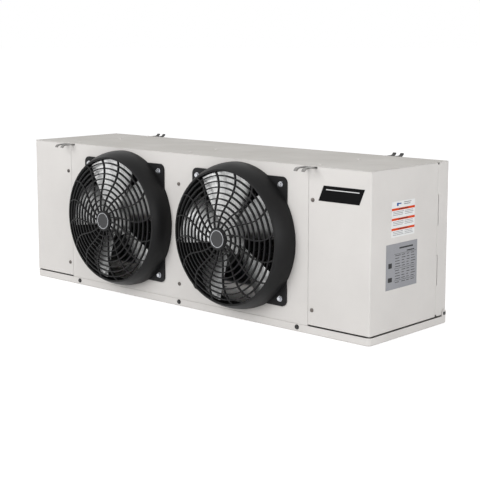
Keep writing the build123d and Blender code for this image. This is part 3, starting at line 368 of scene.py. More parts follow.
@dataclass(frozen=True)
class Finish:
    """One finish: its colours, gloss and texture.

    Attributes:
        name: The material's name.
        colour: Main colour, 0 to 255 as the eye reads it, as all colours here.
        second: Colour that the pattern fades into.
        roughness: Middle of the roughness.
        metallic: 1 for uncoated metal.
        gloss_spread: How far the pattern takes the roughness up and down.
        texture: Kind of pattern.
        scale: How fine the pattern is.
        blotch: How fine its broad clouds are.
        stretch: How fast brushed lines change along each axis.
        relief: Depth of the pattern.
        relief_strength: How strongly that depth shows.
        edge: Radius of the softened edges, 0 for none.
        wear_and_highlight_colour: Colour of the edge patches: scuffed wear, and on the top paint a painted
            highlight.
        wear_and_highlight: How much of the edges takes that colour.
        dust: How much dust lies on faces that look up.
        coat: Weight of a clear coat.
        specular: Strength of the plain reflection.
    """

    name: str
    colour: Rgb
    second: Rgb
    roughness: float
    metallic: float = 0.0
    gloss_spread: float = 0.06
    texture: Texture = Texture.GRAINED
    scale: float = 900.0
    blotch: float = 6.0
    stretch: Point = (1.0, 1.0, 1.0)
    relief: float = 0.00004
    relief_strength: float = 0.25
    edge: float = 0.0008
    wear_and_highlight_colour: Rgb = (170, 172, 174)
    wear_and_highlight: float = 0.25
    dust: float = 0.0
    coat: float = 0.0
    specular: float = 0.5


DUST_COLOUR = (150, 144, 134)
DUST_DULLS = 0.4

PAINT = Finish(
    "cabinet_paint", (224, 221, 218), (218, 215, 212), 0.5,
    scale=1500.0, wear_and_highlight=0.35, dust=0.10, edge=0.0012, specular=0.22,
)
# The top paint's near-white edge colour, laid on most of the edge band, is a painted highlight along the top
# panel's rounded edges.
TOP_PAINT = Finish(
    "dusty_top_paint", (230, 227, 223), (220, 217, 212), 0.7,
    scale=1500.0, wear_and_highlight=0.9, dust=0.12, edge=0.0016, wear_and_highlight_colour=(252, 251, 249), specular=0.03,
)
ZINC_SHEET = Finish(
    "galvanised_sheet", (160, 159, 157), (116, 115, 113), 0.42, 0.85, 0.12, Texture.SPANGLED,
    scale=110.0, wear_and_highlight=0.15, dust=0.12,
)
FIN_SHEET = Finish(
    "fin_sheet", (190, 193, 196), (158, 161, 165), 0.38, 0.9, 0.08, Texture.BRUSHED,
    stretch=(40.0, 8.0, 0.6), edge=0.0, wear_and_highlight=0.0,
)
BLADE_SHEET = Finish(
    "blade_sheet", (222, 222, 221), (160, 161, 162), 0.34, 0.95, 0.1, Texture.BRUSHED,
    stretch=(6.0, 30.0, 0.8), edge=0.0006, wear_and_highlight_colour=(240, 240, 240), wear_and_highlight=0.3,
)
COPPER = Finish(
    "copper_tube", (198, 128, 92), (138, 84, 60), 0.32, 1.0, 0.14, scale=300.0, blotch=22.0, edge=0.0
)
BRASS = Finish("turned_brass", (206, 172, 104), (170, 136, 78), 0.3, 1.0, 0.1, scale=500.0, blotch=30.0)
MOULDED = Finish(
    "moulded_guard", (24, 24, 25), (18, 18, 19), 0.46,
    scale=1300.0, relief=0.00005, relief_strength=0.35,
    edge=0.0009, wear_and_highlight_colour=(52, 52, 53), wear_and_highlight=0.3, dust=0.02, specular=0.18,
)
BADGE_DISC = Finish(
    "badge_disc", (40, 40, 42), (30, 30, 32), 0.5,
    scale=1100.0, relief=0.00012, relief_strength=0.8, wear_and_highlight_colour=(90, 90, 92),
)
BRIGHT_ZINC = Finish(
    "bright_zinc", (214, 215, 218), (176, 178, 184), 0.24, 1.0, 0.1,
    scale=700.0, blotch=60.0, edge=0.0004, wear_and_highlight_colour=(236, 236, 236),
)
STEEL = Finish(
    "turned_steel", (118, 112, 108), (80, 76, 74), 0.4, 1.0, 0.1, scale=600.0, blotch=40.0, edge=0.0004
)
ENAMEL = Finish(
    "motor_enamel", (46, 46, 48), (36, 36, 38), 0.36,
    scale=700.0, blotch=20.0, wear_and_highlight=0.4, wear_and_highlight_colour=(120, 120, 122), dust=0.12,
)
# Black steel on the pan pins, the pan screws and the motor bracket; on the rear hanger forks it is painted
# shade.
BLACK_STEEL_AND_PAINTED_SHADE = Finish(
    "black_steel", (40, 40, 41), (29, 29, 30), 0.45,
    blotch=20.0, wear_and_highlight=0.5, wear_and_highlight_colour=(110, 110, 112), dust=0.1,
)
RUBBER = Finish("rubber", (32, 32, 33), (24, 24, 25), 0.7, relief_strength=0.4, wear_and_highlight=0.1, wear_and_highlight_colour=(56, 56, 57))
NYLON = Finish("black_nylon", (36, 36, 38), (27, 27, 28), 0.5, scale=1000.0, wear_and_highlight=0.2, wear_and_highlight_colour=(70, 70, 72))
TERMINAL = Finish("terminal_resin", (216, 210, 192), (198, 191, 172), 0.5, wear_and_highlight=0.1)
NAME_FOIL = Finish(
    "name_foil", (9, 9, 10), (6, 6, 7), 0.4,
    scale=600.0, relief_strength=0.1, edge=0.0003, wear_and_highlight_colour=(40, 40, 42), specular=0.06,
)
WHITE_FOIL = Finish(
    "white_foil", (238, 238, 237), (230, 231, 231), 0.32,
    scale=500.0, relief_strength=0.1, edge=0.0, wear_and_highlight=0.0, coat=0.3,
)
SILVER_FOIL = Finish(
    "silver_foil", (150, 151, 155), (136, 137, 142), 0.42, 0.35, 0.08, Texture.BRUSHED,
    stretch=(1.0, 2.0, 50.0), relief_strength=0.1, edge=0.0, wear_and_highlight=0.0,
)


def ink_finish(name: str, colour: Rgb, second: Rgb, roughness: float, specular: float = 0.2) -> Finish:
    """Makes the finish of a printing ink.

    Args:
        name: The material's name.
        colour: Main colour.
        second: Colour that the grain fades into.
        roughness: Middle of the roughness.
        specular: Strength of the plain reflection.

    Returns:
        The finish, with a faint grain and no worn edges.
    """
    return Finish(
        name, colour, second, roughness,
        scale=700.0, relief_strength=0.1, edge=0.0, wear_and_highlight=0.0, specular=specular,
    )


ORANGE_INK = ink_finish("orange_ink", (226, 78, 14), (214, 66, 8), 0.5)
BLUE_INK = ink_finish("blue_ink", (34, 92, 160), (28, 78, 142), 0.4)
BLACK_INK = ink_finish("black_ink", (38, 38, 40), (28, 28, 30), 0.45)
GREY_INK = ink_finish("grey_ink", (150, 152, 156), (132, 134, 138), 0.45)
WHITE_INK = ink_finish("white_ink", (232, 232, 232), (222, 222, 222), 0.4, specular=0.5)


class FinishShop:
    """Turns finishes into materials, each one built once."""

    def __init__(self) -> None:
        """Starts with no materials made."""
        self.shelf = EffectShelf()
        self.made: dict[str, bpy.types.Material] = {}

    def material(self, finish: Finish) -> bpy.types.Material:
        """Gives the material of a finish.

        Args:
            finish: The finish that is wanted.

        Returns:
            Its material, made on first use.
        """
        if finish.name not in self.made:
            self.made[finish.name] = self.mix(finish)
        return self.made[finish.name]

    def pattern(self, graph: Graph, finish: Finish) -> bpy.types.Node:
        """Places the texture of a finish.

        Args:
            graph: The material's graph.
            finish: The finish.

        Returns:
            The group node with its Height and Tone.
        """
        if finish.texture is Texture.SPANGLED:
            return self.shelf.place(graph, Effect.SPANGLE, Scale=finish.scale, Blotch=finish.blotch)
        if finish.texture is Texture.BRUSHED:
            names = ("Along X", "Along Y", "Along Z")
            lines = dict(zip(names, finish.stretch))
            return self.shelf.place(graph, Effect.BRUSH, Blotch=finish.blotch, **lines)
        return self.shelf.place(graph, Effect.GRAIN, Scale=finish.scale, Blotch=finish.blotch)

    def mix(self, finish: Finish) -> bpy.types.Material:
        """Builds the material of a finish.

        Args:
            finish: The finish.

        Returns:
            The new material.
        """
        material = bpy.data.materials.new(finish.name)
        material.use_nodes = True
        material.node_tree.nodes.clear()
        graph = Graph(material.node_tree)
        plain = {
            "Metallic": finish.metallic,
            "Coat Weight": finish.coat,
            "Specular IOR Level": finish.specular,
        }
        surface = graph.add("ShaderNodeBsdfPrincipled", plain)
        out = graph.add("ShaderNodeOutputMaterial", {"Surface": surface.outputs[0]})
        out.is_active_output = True
        pattern = self.pattern(graph, finish)
        colour = graph.blend(pattern.outputs["Tone"], linear(finish.colour), linear(finish.second))
        low, high = finish.roughness - finish.gloss_spread, finish.roughness + finish.gloss_spread
        gloss = graph.spread(pattern.outputs["Tone"], 0.0, 1.0, low, high)
        bump = {
            "Strength": finish.relief_strength,
            "Distance": finish.relief,
            "Height": pattern.outputs["Height"],
        }
        relief = graph.add("ShaderNodeBump", bump)
        if finish.edge > 0:
            edge = self.shelf.place(graph, Effect.EDGE, Radius=finish.edge, Rub=finish.wear_and_highlight)
            # Colours the edge patches: scuffed wear, and on the top paint a painted highlight.
            colour = graph.blend(edge.outputs["Wear_highlight_mask"], colour, linear(finish.wear_and_highlight_colour))
            graph.feed(relief, "Normal", edge.outputs["Normal"])
        if finish.dust > 0:
            dust = self.shelf.place(graph, Effect.DUST, Amount=finish.dust)
            colour = graph.blend(dust.outputs["Settled"], colour, linear(DUST_COLOUR))
            dull = graph.math("MULTIPLY", dust.outputs["Settled"], DUST_DULLS)
            gloss = graph.math("ADD", gloss, dull, clamp=True)
        graph.feed(surface, "Base Color", colour)
        graph.feed(surface, "Roughness", gloss)
        graph.feed(surface, "Normal", relief.outputs[0])
        return material

    def dress(self, piece: bpy.types.Object, finish: Finish) -> None:
        """Gives a piece one finish all over.

        Args:
            piece: A mesh object.
            finish: The finish.
        """
        piece.data.materials.clear()
        piece.data.materials.append(self.material(finish))


# ---- modelling -----------------------------------------------------------------------------


class Bench:
    """Hand modelling steps that the new pieces share.

    Attributes:
        straight: Part of its length that an edge has along an axis to count as running along it.
        ring_corners: Corners of a ring's outline.
        ring_round: Rounding of a ring's edges, as a share of its thinner side.
        merge_within: Vertices nearer than this become one.
    """

    straight: float = 0.999
    ring_corners: int = 72
    ring_round: float = 0.35
    merge_within: float = 0.00001

    @staticmethod
    def clear() -> None:
        """Leaves edit mode and deselects everything."""
        if bpy.context.object and bpy.context.object.mode != "OBJECT":
            bpy.ops.object.mode_set(mode="OBJECT")
        bpy.ops.object.select_all(action="DESELECT")

    @staticmethod
    def settle(name: str) -> bpy.types.Object:
        """Ends the work on the active piece with its place in its mesh.

        Args:
            name: The piece's name.

        Returns:
            The finished object.
        """
        piece = bpy.context.object
        if piece.mode != "OBJECT":
            bpy.ops.object.mode_set(mode="OBJECT")
        bpy.ops.object.transform_apply(location=True, rotation=True, scale=True)
        for modifier in list(piece.modifiers):
            bpy.ops.object.modifier_apply(modifier=modifier.name)
        piece.name = name
        piece.data.name = name
        piece.select_set(False)
        return piece

    @staticmethod
    def pick_edges(along: int) -> None:
        """Selects the active mesh's edges that run along one axis, in edit mode.

        Args:
            along: 0, 1 or 2 for X, Y or Z.
        """
        bpy.ops.mesh.select_all(action="DESELECT")
        bpy.ops.mesh.select_mode(type="EDGE")
        bpy.ops.object.mode_set(mode="OBJECT")
        mesh = bpy.context.object.data
        for edge in mesh.edges:
            a, b = (mesh.vertices[n].co for n in edge.vertices)
            run = b - a
            edge.select = abs(run[along]) > Bench.straight * run.length
        bpy.ops.object.mode_set(mode="EDIT")

    @staticmethod
    def pick_vertices(chosen: Callable[[Vector], bool]) -> None:
        """Selects the active mesh's vertices that pass a test, in edit mode.

        Args:
            chosen: A function of a vertex's place that says whether it is meant.
        """
        bpy.ops.mesh.select_mode(type="VERT")
        bpy.ops.mesh.select_all(action="DESELECT")
        bpy.ops.object.mode_set(mode="OBJECT")
        for vertex in bpy.context.object.data.vertices:
            vertex.select = bool(chosen(vertex.co))
        bpy.ops.object.mode_set(mode="EDIT")

    def printed(self, name: str, marks: list[Mark], out: Point) -> bpy.types.Object:
        """Models a set of flat printed marks as one thin raised layer.

        Args:
            name: The piece's name.
            marks: Each mark's centre, and its size along X, Y and Z, one of them 0.
            out: The layer's thickness as a step out of the printed face.

        Returns:
            The finished object.
        """
        self.clear()
        turn = (0.0, math.pi / 2, 0.0) if out[0] else (math.pi / 2, 0.0, 0.0)
        bpy.ops.mesh.primitive_plane_add(size=1, location=(0.0, 0.0, 0.0))
        bpy.ops.object.mode_set(mode="EDIT")
        bpy.ops.mesh.delete(type="VERT")
        for centre, size in marks:
            bpy.ops.mesh.primitive_plane_add(size=1, location=centre, rotation=turn)
            stretch = tuple(part or 1.0 for part in size)
            bpy.ops.transform.resize(value=stretch, center_override=centre)
        bpy.ops.mesh.select_all(action="SELECT")
        bpy.ops.mesh.extrude_region_move(TRANSFORM_OT_translate={"value": out})
        bpy.ops.mesh.select_all(action="SELECT")
        bpy.ops.mesh.normals_make_consistent(inside=False)
        return self.settle(name)

    def ring(self, name: str, centre: Point, outer: float, width: float, height: float) -> bpy.types.Object:
        """Models a rounded flat ring that faces -Y.

        Args:
            name: The piece's name.
            centre: Middle of the ring's seat.
            outer: Outer radius.
            width: Width of the band.
            height: Height of the band over its seat.

        Returns:
            The finished object.
        """
        self.clear()
        facing = (math.pi / 2, 0.0, 0.0)
        bpy.ops.mesh.primitive_circle_add(
            vertices=self.ring_corners, radius=outer, fill_type="NGON", location=centre, rotation=facing
        )
        bpy.ops.object.mode_set(mode="EDIT")
        bpy.ops.mesh.select_all(action="SELECT")
        bpy.ops.mesh.inset(thickness=width, depth=0.0)
        bpy.ops.mesh.delete(type="FACE")
        bpy.ops.mesh.select_all(action="SELECT")
        bpy.ops.mesh.extrude_region_move(TRANSFORM_OT_translate={"value": (0.0, -height, 0.0)})
        bpy.ops.mesh.select_all(action="SELECT")
        bpy.ops.mesh.remove_doubles(threshold=self.merge_within)
        bpy.ops.mesh.normals_make_consistent(inside=False)
        bpy.ops.object.mode_set(mode="OBJECT")
        round_over = bpy.context.object.modifiers.new("round_over", "BEVEL")
        round_over.width = self.ring_round * min(width, height)
        round_over.segments = 2
        return self.settle(name)


# ---- sub-assemblies ------------------------------------------------------------------------


@dataclass
class SubAssembly:
    """Pieces of the cooler that belong together.

    Attributes:
        finishes: The finish of each of its frame nodes.
    """

    finishes: dict[str, Finish] = field(default_factory=dict)

    def dress(self, shop: FinishShop, nodes: dict[str, bpy.types.Object]) -> None:
        """Gives every node of this sub-assembly its finish.

        Args:
            shop: Makes the materials.
            nodes: The frame's objects by name.
        """
        for name, finish in self.finishes.items():
            shop.dress(nodes[name], finish)
            LOG.info("dressed %s in %s", name, finish.name)

    def build(self, bench: Bench, shop: FinishShop) -> list[bpy.types.Object]:
        """Models the sub-assembly's own new pieces; most have none.

        Args:
            bench: Modelling steps; not used.
            shop: Makes the materials; not used.

        Returns:
            The new pieces.
        """
        return []


def paired(*names: str) -> list[str]:
    """Names the left and the right node of each given kind.

    Args:
        *names: Kinds of node that come in a left and a right.

    Returns:
        The node names.
    """
    return [f"{name}_{side}" for name in names for side in SIDES]


@dataclass
class Cabinet(SubAssembly):
    """Painted sheets of the cabinet, the plates inside it and its screws."""

    def __post_init__(self) -> None:
        """Lists the nodes and their finishes."""
        painted = ["fan_panel", *paired("end_cover", "rear_corner")]
        zinc = ["middle_baffle", *paired("coil_end_plate")]
        self.finishes = {name: PAINT for name in painted}
        self.finishes |= {name: ZINC_SHEET for name in zinc}
        steel = ["middle_screws", *paired("cover_screws", "cover_hinge_pin")]
        self.finishes |= {name: STEEL for name in steel}
        self.finishes |= {"top_panel": TOP_PAINT, "top_rivets": PAINT}


@dataclass
class DrainPan(SubAssembly):
    """Swinging drain pan with its screws, pins and outlet."""

    def __post_init__(self) -> None:
        """Lists the nodes and their finishes."""
        self.finishes = {
            "drain_pan": PAINT,
            "drain_fitting": BRASS,
            "pan_hinge_pins": BLACK_STEEL_AND_PAINTED_SHADE,
            "pan_screws": BLACK_STEEL_AND_PAINTED_SHADE,
            "pan_washers": RUBBER,
        }


@dataclass
class Hangers(SubAssembly):
    """Forked straps that the cooler hangs from."""

    def __post_init__(self) -> None:
        """Lists the nodes and their finishes."""
        self.finishes = {name: ZINC_SHEET for name in paired("hanger_front")}
        # The rear forks are galvanised like the front forks; their black finish is painted shade, standing
        # for the shade they sit in.
        self.finishes |= {name: BLACK_STEEL_AND_PAINTED_SHADE for name in paired("hanger_rear")}


@dataclass
class FanUnit(SubAssembly):
    """One fan: guard, badge, blades, hub, shaft, motor and bracket.

    Attributes:
        side: Which of the two fans, left or right.
        ring_width: Band of the badge's bright ring.
        ring_rise: Height of that ring over the badge's face.
        ring_inset: Ring's outer edge inside the badge's edge.
        ring_sunk: Depth of the badge's face, where the ring sits, behind its rim.
    """

    side: str = "left"
    ring_width: float = 0.0011
    ring_rise: float = 0.00045
    ring_inset: float = 0.0023
    ring_sunk: float = 0.0005

    def __post_init__(self) -> None:
        """Lists the nodes and their finishes."""
        kinds = {
            "fan_guard": MOULDED,
            "guard_badge": BADGE_DISC,
            "guard_screws": BRIGHT_ZINC,
            "fan_blades": BLADE_SHEET,
            "fan_hub": STEEL,
            "motor_shaft": STEEL,
            "motor_body": ENAMEL,
            "motor_bracket": BLACK_STEEL_AND_PAINTED_SHADE,
        }
        self.finishes = {f"{kind}_{self.side}": finish for kind, finish in kinds.items()}

    def build(self, bench: Bench, shop: FinishShop) -> list[bpy.types.Object]:
        """Models the bright ring inside the rim of the hub badge.

        Args:
            bench: Modelling steps.
            shop: Makes the materials.

        Returns:
            The ring.
        """
        low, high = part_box(f"guard_badge_{self.side}")
        centre = ((low.x + high.x) / 2, low.y + self.ring_sunk, (low.z + high.z) / 2)
        outer = (high.x - low.x) / 2 - self.ring_inset
        ring = bench.ring(f"badge_ring_{self.side}", centre, outer, self.ring_width, self.ring_rise)
        shop.dress(ring, BRIGHT_ZINC)
        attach(ring, "cabinet")
        return [ring]


@dataclass
class Coil(SubAssembly):
    """Fin pack, tubes, bends, headers and refrigerant lines.

    Attributes:
        pitch: Distance from fin to fin.
        sheet: Thickness of a fin.
        waves: Ripples across a fin's depth.
        ripple: Height of a ripple.
    """

    pitch: float = 0.004
    sheet: float = 0.0002
    waves: int = 16
    ripple: float = 0.0005

    def __post_init__(self) -> None:
        """Lists the nodes and their finishes."""
        copper = ["coil_tubes", "suction_header", "suction_line", "liquid_line", "feeder_tubes"]
        self.finishes = {name: COPPER for name in [*copper, *paired("return_bends")]}
        self.finishes |= {"distributor": BRASS, "access_valve": BRASS, "pipe_grommets": RUBBER}

    def build(self, bench: Bench, shop: FinishShop) -> list[bpy.types.Object]:
        """Models the thin rippled fins that stand for the fin pack.

        Args:
            bench: Modelling steps.
            shop: Makes the materials.

        Returns:
            The fins, as one piece.
        """
        low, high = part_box("coil_fins")
        depth, height = high.y - low.y, high.z - low.z
        count = int((high.x - low.x - 2 * self.ripple) / self.pitch)
        start = low.x + (high.x - low.x - count * self.pitch) / 2
        bench.clear()
        bpy.ops.mesh.primitive_plane_add(size=1, location=(start, (low.y + high.y) / 2, (low.z + high.z) / 2))
        fin = bpy.context.object
        fin.rotation_euler = (0.0, math.pi / 2, 0.0)
        fin.scale = (height, depth, 1.0)
        bpy.ops.object.transform_apply(location=True, rotation=True, scale=True)
        bpy.ops.object.mode_set(mode="EDIT")
        bench.pick_edges(1)
        bpy.ops.mesh.subdivide(number_cuts=self.waves - 1)
        step = depth / self.waves
        bench.pick_vertices(lambda place: round((place.y - low.y) / step) % 2 == 1)
        bpy.ops.transform.translate(value=(self.ripple, 0.0, 0.0))
        bpy.ops.object.mode_set(mode="OBJECT")
        wall = fin.modifiers.new("sheet", "SOLIDIFY")
        wall.thickness = self.sheet
        wall.offset = 0.0
        pack = fin.modifiers.new("pack", "ARRAY")
        pack.use_relative_offset = False
        pack.use_constant_offset = True
        pack.constant_offset_displace = (self.pitch, 0.0, 0.0)
        pack.count = count
        fins = bench.settle("coil_thin_fins")
        shop.dress(fins, FIN_SHEET)
        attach(fins, "cabinet")
        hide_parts("coil_fins")
        return [fins]


@dataclass
class Electrics(SubAssembly):
    """Terminal box, block and cable glands."""

    def __post_init__(self) -> None:
        """Lists the nodes and their finishes."""
        self.finishes = {
            "terminal_box": ZINC_SHEET,
            "terminal_box_lid": ZINC_SHEET,
            "terminal_block": TERMINAL,
            "box_gland": NYLON,
            "power_gland": NYLON,
        }


@dataclass
class Plates(SubAssembly):
    """Name plate and the two labels on the right end, with generic marks only.

    Places and sizes on a label are shares of its width, from its front edge, and of its
    height, from its foot. A mark has its middle across and up, its width and its height.

    Attributes:
        ink: Thickness of the printed layer.
        bars: Heights of the bar label's three bars.
        bar_size: Width and height of a bar.
        head_size: Width and height of the dark stroke on a bar.
        small_drop: First line of small print below a bar.
        small_step: From one line of small print to the next.
        small_lines: Lines of small print under each bar.
        small_columns: Start and end of their strokes.
        top_rows: Heights of the two broad lines at the head of the bar label.
        top_columns: Start and end of those lines.
        top_stroke: Height of those lines.
        blue_marks: The small blue mark's two parts.
        stroke: Height of a line of small print.
        trim: Step by which the strokes end unevenly.
        heading: The data label's two heading lines.
        squares: Its two squares.
        table_rows: Heights of its rows.
        table_columns: Start and end of its columns.
        rule_rows: Heights of the rules between the rows.
        rule_columns: Start and end of those rules.
        rule_stroke: Height of those rules.
        line_shift: Name plate's line beyond the plate's middle, in metres.
        line_place: Height, width and thickness of that line, as shares of the plate.
    """

    ink: float = 0.00008
    bars: Sequence[float] = (0.78, 0.50, 0.22)
    bar_size: Span = (1.0, 0.065)
    head_size: Span = (0.42, 0.022)
    small_drop: float = 0.07
    small_step: float = 0.045
    small_lines: int = 3
    small_columns: Sequence[Span] = ((0.06, 0.52), (0.56, 0.94))
    top_rows: Sequence[float] = (0.95, 0.90)
    top_columns: Sequence[Span] = ((0.52, 0.84),)
    top_stroke: float = 0.022
    blue_marks: Sequence[Share] = ((0.25, 0.915, 0.07, 0.09), (0.345, 0.93, 0.12, 0.035))
    stroke: float = 0.014
    trim: float = 0.014
    heading: Sequence[Share] = ((0.64, 0.885, 0.44, 0.035), (0.78, 0.80, 0.24, 0.025))
    squares: Sequence[Share] = ((0.13, 0.53, 0.11, 0.11), (0.13, 0.22, 0.13, 0.10))
    table_rows: Sequence[float] = (0.73, 0.67, 0.61, 0.55, 0.49, 0.40, 0.34, 0.28, 0.22, 0.14)
    table_columns: Sequence[Span] = ((0.29, 0.46), (0.50, 0.62), (0.66, 0.76), (0.80, 0.94))
    rule_rows: Sequence[float] = (0.765, 0.445, 0.18)
    rule_columns: Sequence[Span] = ((0.26, 0.97),)
    rule_stroke: float = 0.007
    line_shift: float = 0.0035
    line_place: Point = (0.76, 0.72, 0.05)

    def __post_init__(self) -> None:
        """Lists the nodes and their finishes."""
        self.finishes = {"name_plate": NAME_FOIL, "bar_label": WHITE_FOIL, "data_label": SILVER_FOIL}

    def on_end(self, node: str, across: float, up: float, width: float, height: float) -> Mark:
        """Places a mark on a label of the right end.

        Args:
            node: The label.
            across: The mark's middle along the label.
            up: The mark's middle up the label.
            width: The mark's width.
            height: The mark's height.

        Returns:
            The mark's centre and size.
        """
        low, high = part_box(node)
        wide, tall = high.y - low.y, high.z - low.z
        centre = (high.x, low.y + across * wide, low.z + up * tall)
        return centre, (0.0, width * wide, height * tall)

    def lines(self, node: str, rows: Sequence[float], spans: Sequence[Span], height: float) -> list[Mark]:
        """Rules thin lines like small print.

        Args:
            node: The label.
            rows: Heights of the lines.
            spans: Start and end of the strokes in each line.
            height: Height of a stroke.

        Returns:
            Each stroke's centre and size.
        """
        marks = []
        for number, row in enumerate(rows):
            for place, (start, end) in enumerate(spans):
                short = self.trim * ((number * 3 + place * 5) % 4)
                marks.append(self.on_end(node, (start + end - short) / 2, row, end - start - short, height))
        return marks

    def bar_label(self) -> dict[str, tuple[list[Mark], Finish, float]]:
        """Lays out the white label: three bars, small print and a small blue mark.

        Returns:
            Each layer's marks, its ink, and its rise in thicknesses of ink.
        """
        node = "bar_label"
        steps = range(self.small_lines)
        small = [up - self.small_drop - self.small_step * n for up in self.bars for n in steps]
        rows = self.lines(node, small, self.small_columns, self.stroke)
        rows += self.lines(node, self.top_rows, self.top_columns, self.top_stroke)
        bars = [self.on_end(node, 0.5, up, *self.bar_size) for up in self.bars]
        heads = [self.on_end(node, 0.5, up, *self.head_size) for up in self.bars]
        blue = [self.on_end(node, *share) for share in self.blue_marks]
        return {
            "bar_label_bars": (bars, ORANGE_INK, 1.0),
            "bar_label_mark": (blue, BLUE_INK, 1.0),
            "bar_label_print": (rows, GREY_INK, 1.0),
            "bar_label_heads": (heads, BLACK_INK, 2.0),
        }

    def data_label(self) -> dict[str, tuple[list[Mark], Finish, float]]:
        """Lays out the silver label: a heading, two squares and a ruled table.

        Returns:
            Its one layer's marks, its ink, and its rise in thicknesses of ink.
        """
        node = "data_label"
        marks = [self.on_end(node, *share) for share in (*self.heading, *self.squares)]
        marks += self.lines(node, self.table_rows, self.table_columns, self.stroke)
        marks += self.lines(node, self.rule_rows, self.rule_columns, self.rule_stroke)
        return {"data_label_print": (marks, BLACK_INK, 1.0)}

    def build(self, bench: Bench, shop: FinishShop) -> list[bpy.types.Object]:
        """Models the printed layers of the plate and the labels.

        Args:
            bench: Modelling steps.
            shop: Makes the materials.

        Returns:
            The printed pieces.
        """
        pieces = []
        for node, layers in (("bar_label", self.bar_label()), ("data_label", self.data_label())):
            for name, (marks, ink, rise) in layers.items():
                layer = bench.printed(name, marks, (rise * self.ink, 0.0, 0.0))
                self.finish_layer(shop, layer, ink, node)
                pieces.append(layer)
        pieces.append(self.pinstripe(bench, shop))
        return pieces

    def finish_layer(self, shop: FinishShop, layer: bpy.types.Object, ink: Finish, node: str) -> None:
        """Inks a printed layer and fastens it to the right cover.

        Args:
            shop: Makes the materials.
            layer: The printed layer.
            ink: Its finish.
            node: The plate that it is printed on; not used.
        """
        shop.dress(layer, ink)
        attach(layer, "cover_right")

    def pinstripe(self, bench: Bench, shop: FinishShop) -> bpy.types.Object:
        """Prints one straight white line across the upper part of the name plate.

        Args:
            bench: Modelling steps.
            shop: Makes the materials.

        Returns:
            The line.
        """
        low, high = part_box("name_plate")
        tall = high.z - low.z
        up, width, height = self.line_place
        centre = ((low.x + high.x) / 2 + self.line_shift, low.y, low.z + up * tall)
        size = (width * (high.x - low.x), 0.0, height * tall)
        stripe = bench.printed("name_plate_line", [(centre, size)], (0.0, -self.ink, 0.0))
        self.finish_layer(shop, stripe, WHITE_INK, "name_plate")
        return stripe


# ---- studio --------------------------------------------------------------------------------


@dataclass(frozen=True)
class Softbox:
    """One square studio lamp that looks at the middle of the cooler.

    Attributes:
        name: The lamp's name.
        place: Its middle.
        size: Its side.
        watts: Its power.
    """

    name: str
    place: Point
    size: float
    watts: float


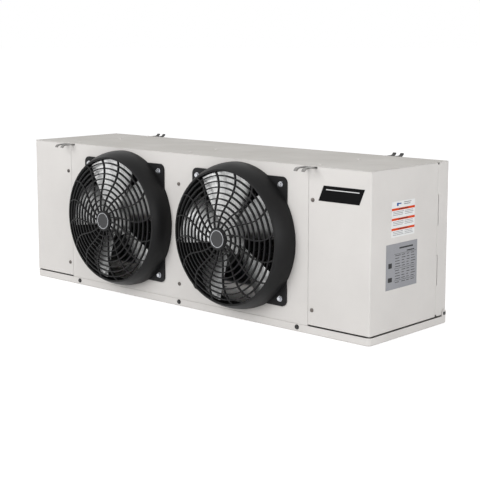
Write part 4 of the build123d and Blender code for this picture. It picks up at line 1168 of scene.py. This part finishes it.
@dataclass
class Studio:
    """Camera, lamps, floor and the white surroundings.

    Attributes:
        azimuth: Camera's turn round the cooler, degrees from the front.
        elevation: Camera's height over the horizon, degrees.
        distance: Camera to target, metres.
        target: The point that the camera looks at.
        sensor: Width of the sensor, in millimetres.
        lens: Focal length, in millimetres.
        shift: Upward shift of the frame.
        surround: Light of the surroundings on the object.
        floor_corners: Corners of the floor's outline.
        floor_reach: Radius of the floor.
        floor_drop: Floor below the cooler's underside.
        floor_tone: How pale the floor is, 0 to 1.
        floor_glow: Light that lifts the seen floor to white.
        softboxes: The studio's lamps.
    """

    azimuth: float = 42.48
    elevation: float = 7.92
    distance: float = 2.888
    target: Point = (0.0565, 0.0, 0.2510)
    sensor: float = 36.0
    lens: float = 88.2
    shift: float = -0.083
    surround: float = 0.50
    floor_corners: int = 64
    floor_reach: float = 60.0
    floor_drop: float = 0.0005
    floor_tone: float = 0.8
    floor_glow: float = 0.66
    softboxes: tuple[Softbox, ...] = (
        Softbox("key_softbox", (-0.5, -2.6, 1.3), 1.6, 36.0),
        Softbox("side_softbox", (3.0, -0.9, 0.9), 1.6, 27.0),
        Softbox("back_softbox", (-1.2, 2.6, 1.8), 1.6, 3.5),
    )

    def camera(self) -> None:
        """Places the camera and makes it the scene's."""
        turn, rise = math.radians(self.azimuth), math.radians(self.elevation)
        back = Vector((math.sin(turn) * math.cos(rise), -math.cos(turn) * math.cos(rise), math.sin(rise)))
        data = bpy.data.cameras.new("camera")
        data.sensor_width = self.sensor
        data.lens = self.lens
        data.shift_y = self.shift
        eye = bpy.data.objects.new("camera", data)
        eye.location = Vector(self.target) + back * self.distance
        eye.rotation_mode = "QUATERNION"
        eye.rotation_quaternion = (-back).to_track_quat("-Z", "Y")
        bpy.context.scene.collection.objects.link(eye)
        bpy.context.scene.camera = eye

    def lamps(self) -> None:
        """Hangs the softboxes round the cooler."""
        for box in self.softboxes:
            data = bpy.data.lights.new(box.name, "AREA")
            data.shape = "SQUARE"
            data.size = box.size
            data.energy = box.watts
            lamp = bpy.data.objects.new(box.name, data)
            lamp.location = box.place
            aim = Vector(self.target) - Vector(box.place)
            lamp.rotation_mode = "QUATERNION"
            lamp.rotation_quaternion = aim.to_track_quat("-Z", "Y")
            bpy.context.scene.collection.objects.link(lamp)

    @staticmethod
    def seen(graph: Graph) -> bpy.types.NodeSocket:
        """Finds the rays that show the background itself.

        Args:
            graph: The graph of a material or the world.

        Returns:
            1 for camera, glossy and transmission rays, otherwise 0.
        """
        path = graph.add("ShaderNodeLightPath").outputs
        shown = graph.math("MAXIMUM", path["Is Camera Ray"], path["Is Glossy Ray"])
        return graph.math("MAXIMUM", shown, path["Is Transmission Ray"])

    def surroundings(self) -> None:
        """Fills the world with even soft light behind a plain white background."""
        world = bpy.data.worlds.new("white_studio")
        world.use_nodes = True
        world.node_tree.nodes.clear()
        graph = Graph(world.node_tree)
        light = graph.add("ShaderNodeBackground", {"Color": WHITE, "Strength": self.surround})
        white = graph.add("ShaderNodeBackground", {"Color": WHITE, "Strength": 1.0})
        shaders = {0: self.seen(graph), 1: light.outputs[0], 2: white.outputs[0]}
        mix = graph.add("ShaderNodeMixShader", shaders)
        graph.add("ShaderNodeOutputWorld", {"Surface": mix.outputs[0]})
        bpy.context.scene.world = world

    def floor(self, bench: Bench) -> None:
        """Lays a wide pale floor that keeps the cooler's soft shadow.

        Args:
            bench: Modelling steps.
        """
        bench.clear()
        middle = (0.0, 0.0, -self.floor_drop)
        bpy.ops.mesh.primitive_circle_add(
            vertices=self.floor_corners, radius=self.floor_reach, fill_type="NGON", location=middle
        )
        floor = bench.settle("studio_floor")
        material = bpy.data.materials.new("studio_floor")
        material.use_nodes = True
        material.node_tree.nodes.clear()
        graph = Graph(material.node_tree)
        tone = (self.floor_tone, self.floor_tone, self.floor_tone, 1.0)
        pale = graph.add("ShaderNodeBsdfDiffuse", {"Color": tone})
        glow = graph.add("ShaderNodeEmission", {"Color": WHITE, "Strength": self.floor_glow})
        lit = graph.add("ShaderNodeAddShader", {0: pale.outputs[0], 1: glow.outputs[0]})
        shaders = {0: self.seen(graph), 1: pale.outputs[0], 2: lit.outputs[0]}
        mix = graph.add("ShaderNodeMixShader", shaders)
        graph.add("ShaderNodeOutputMaterial", {"Surface": mix.outputs[0]})
        floor.data.materials.append(material)

    def build(self, bench: Bench) -> None:
        """Sets up the whole studio.

        Args:
            bench: Modelling steps.
        """
        self.camera()
        self.lamps()
        self.surroundings()
        self.floor(bench)
        bpy.context.scene.view_settings.view_transform = "Standard"


# ---- the whole cooler ----------------------------------------------------------------------


def main() -> None:
    """Builds the studio and every sub-assembly, in order."""
    logging.basicConfig(level=logging.INFO, format="%(message)s")
    bench, shop = Bench(), FinishShop()
    Studio().build(bench)
    assemblies = [
        Cabinet(),
        DrainPan(),
        Hangers(),
        *(FanUnit(side=side) for side in SIDES),
        Coil(),
        Electrics(),
        Plates(),
    ]
    for assembly in assemblies:
        assembly.dress(shop, frame["nodes"])
        for piece in assembly.build(bench, shop):
            LOG.info("built %s, %d faces", piece.name, len(piece.data.polygons))


if __name__ == "__main__":
    main()
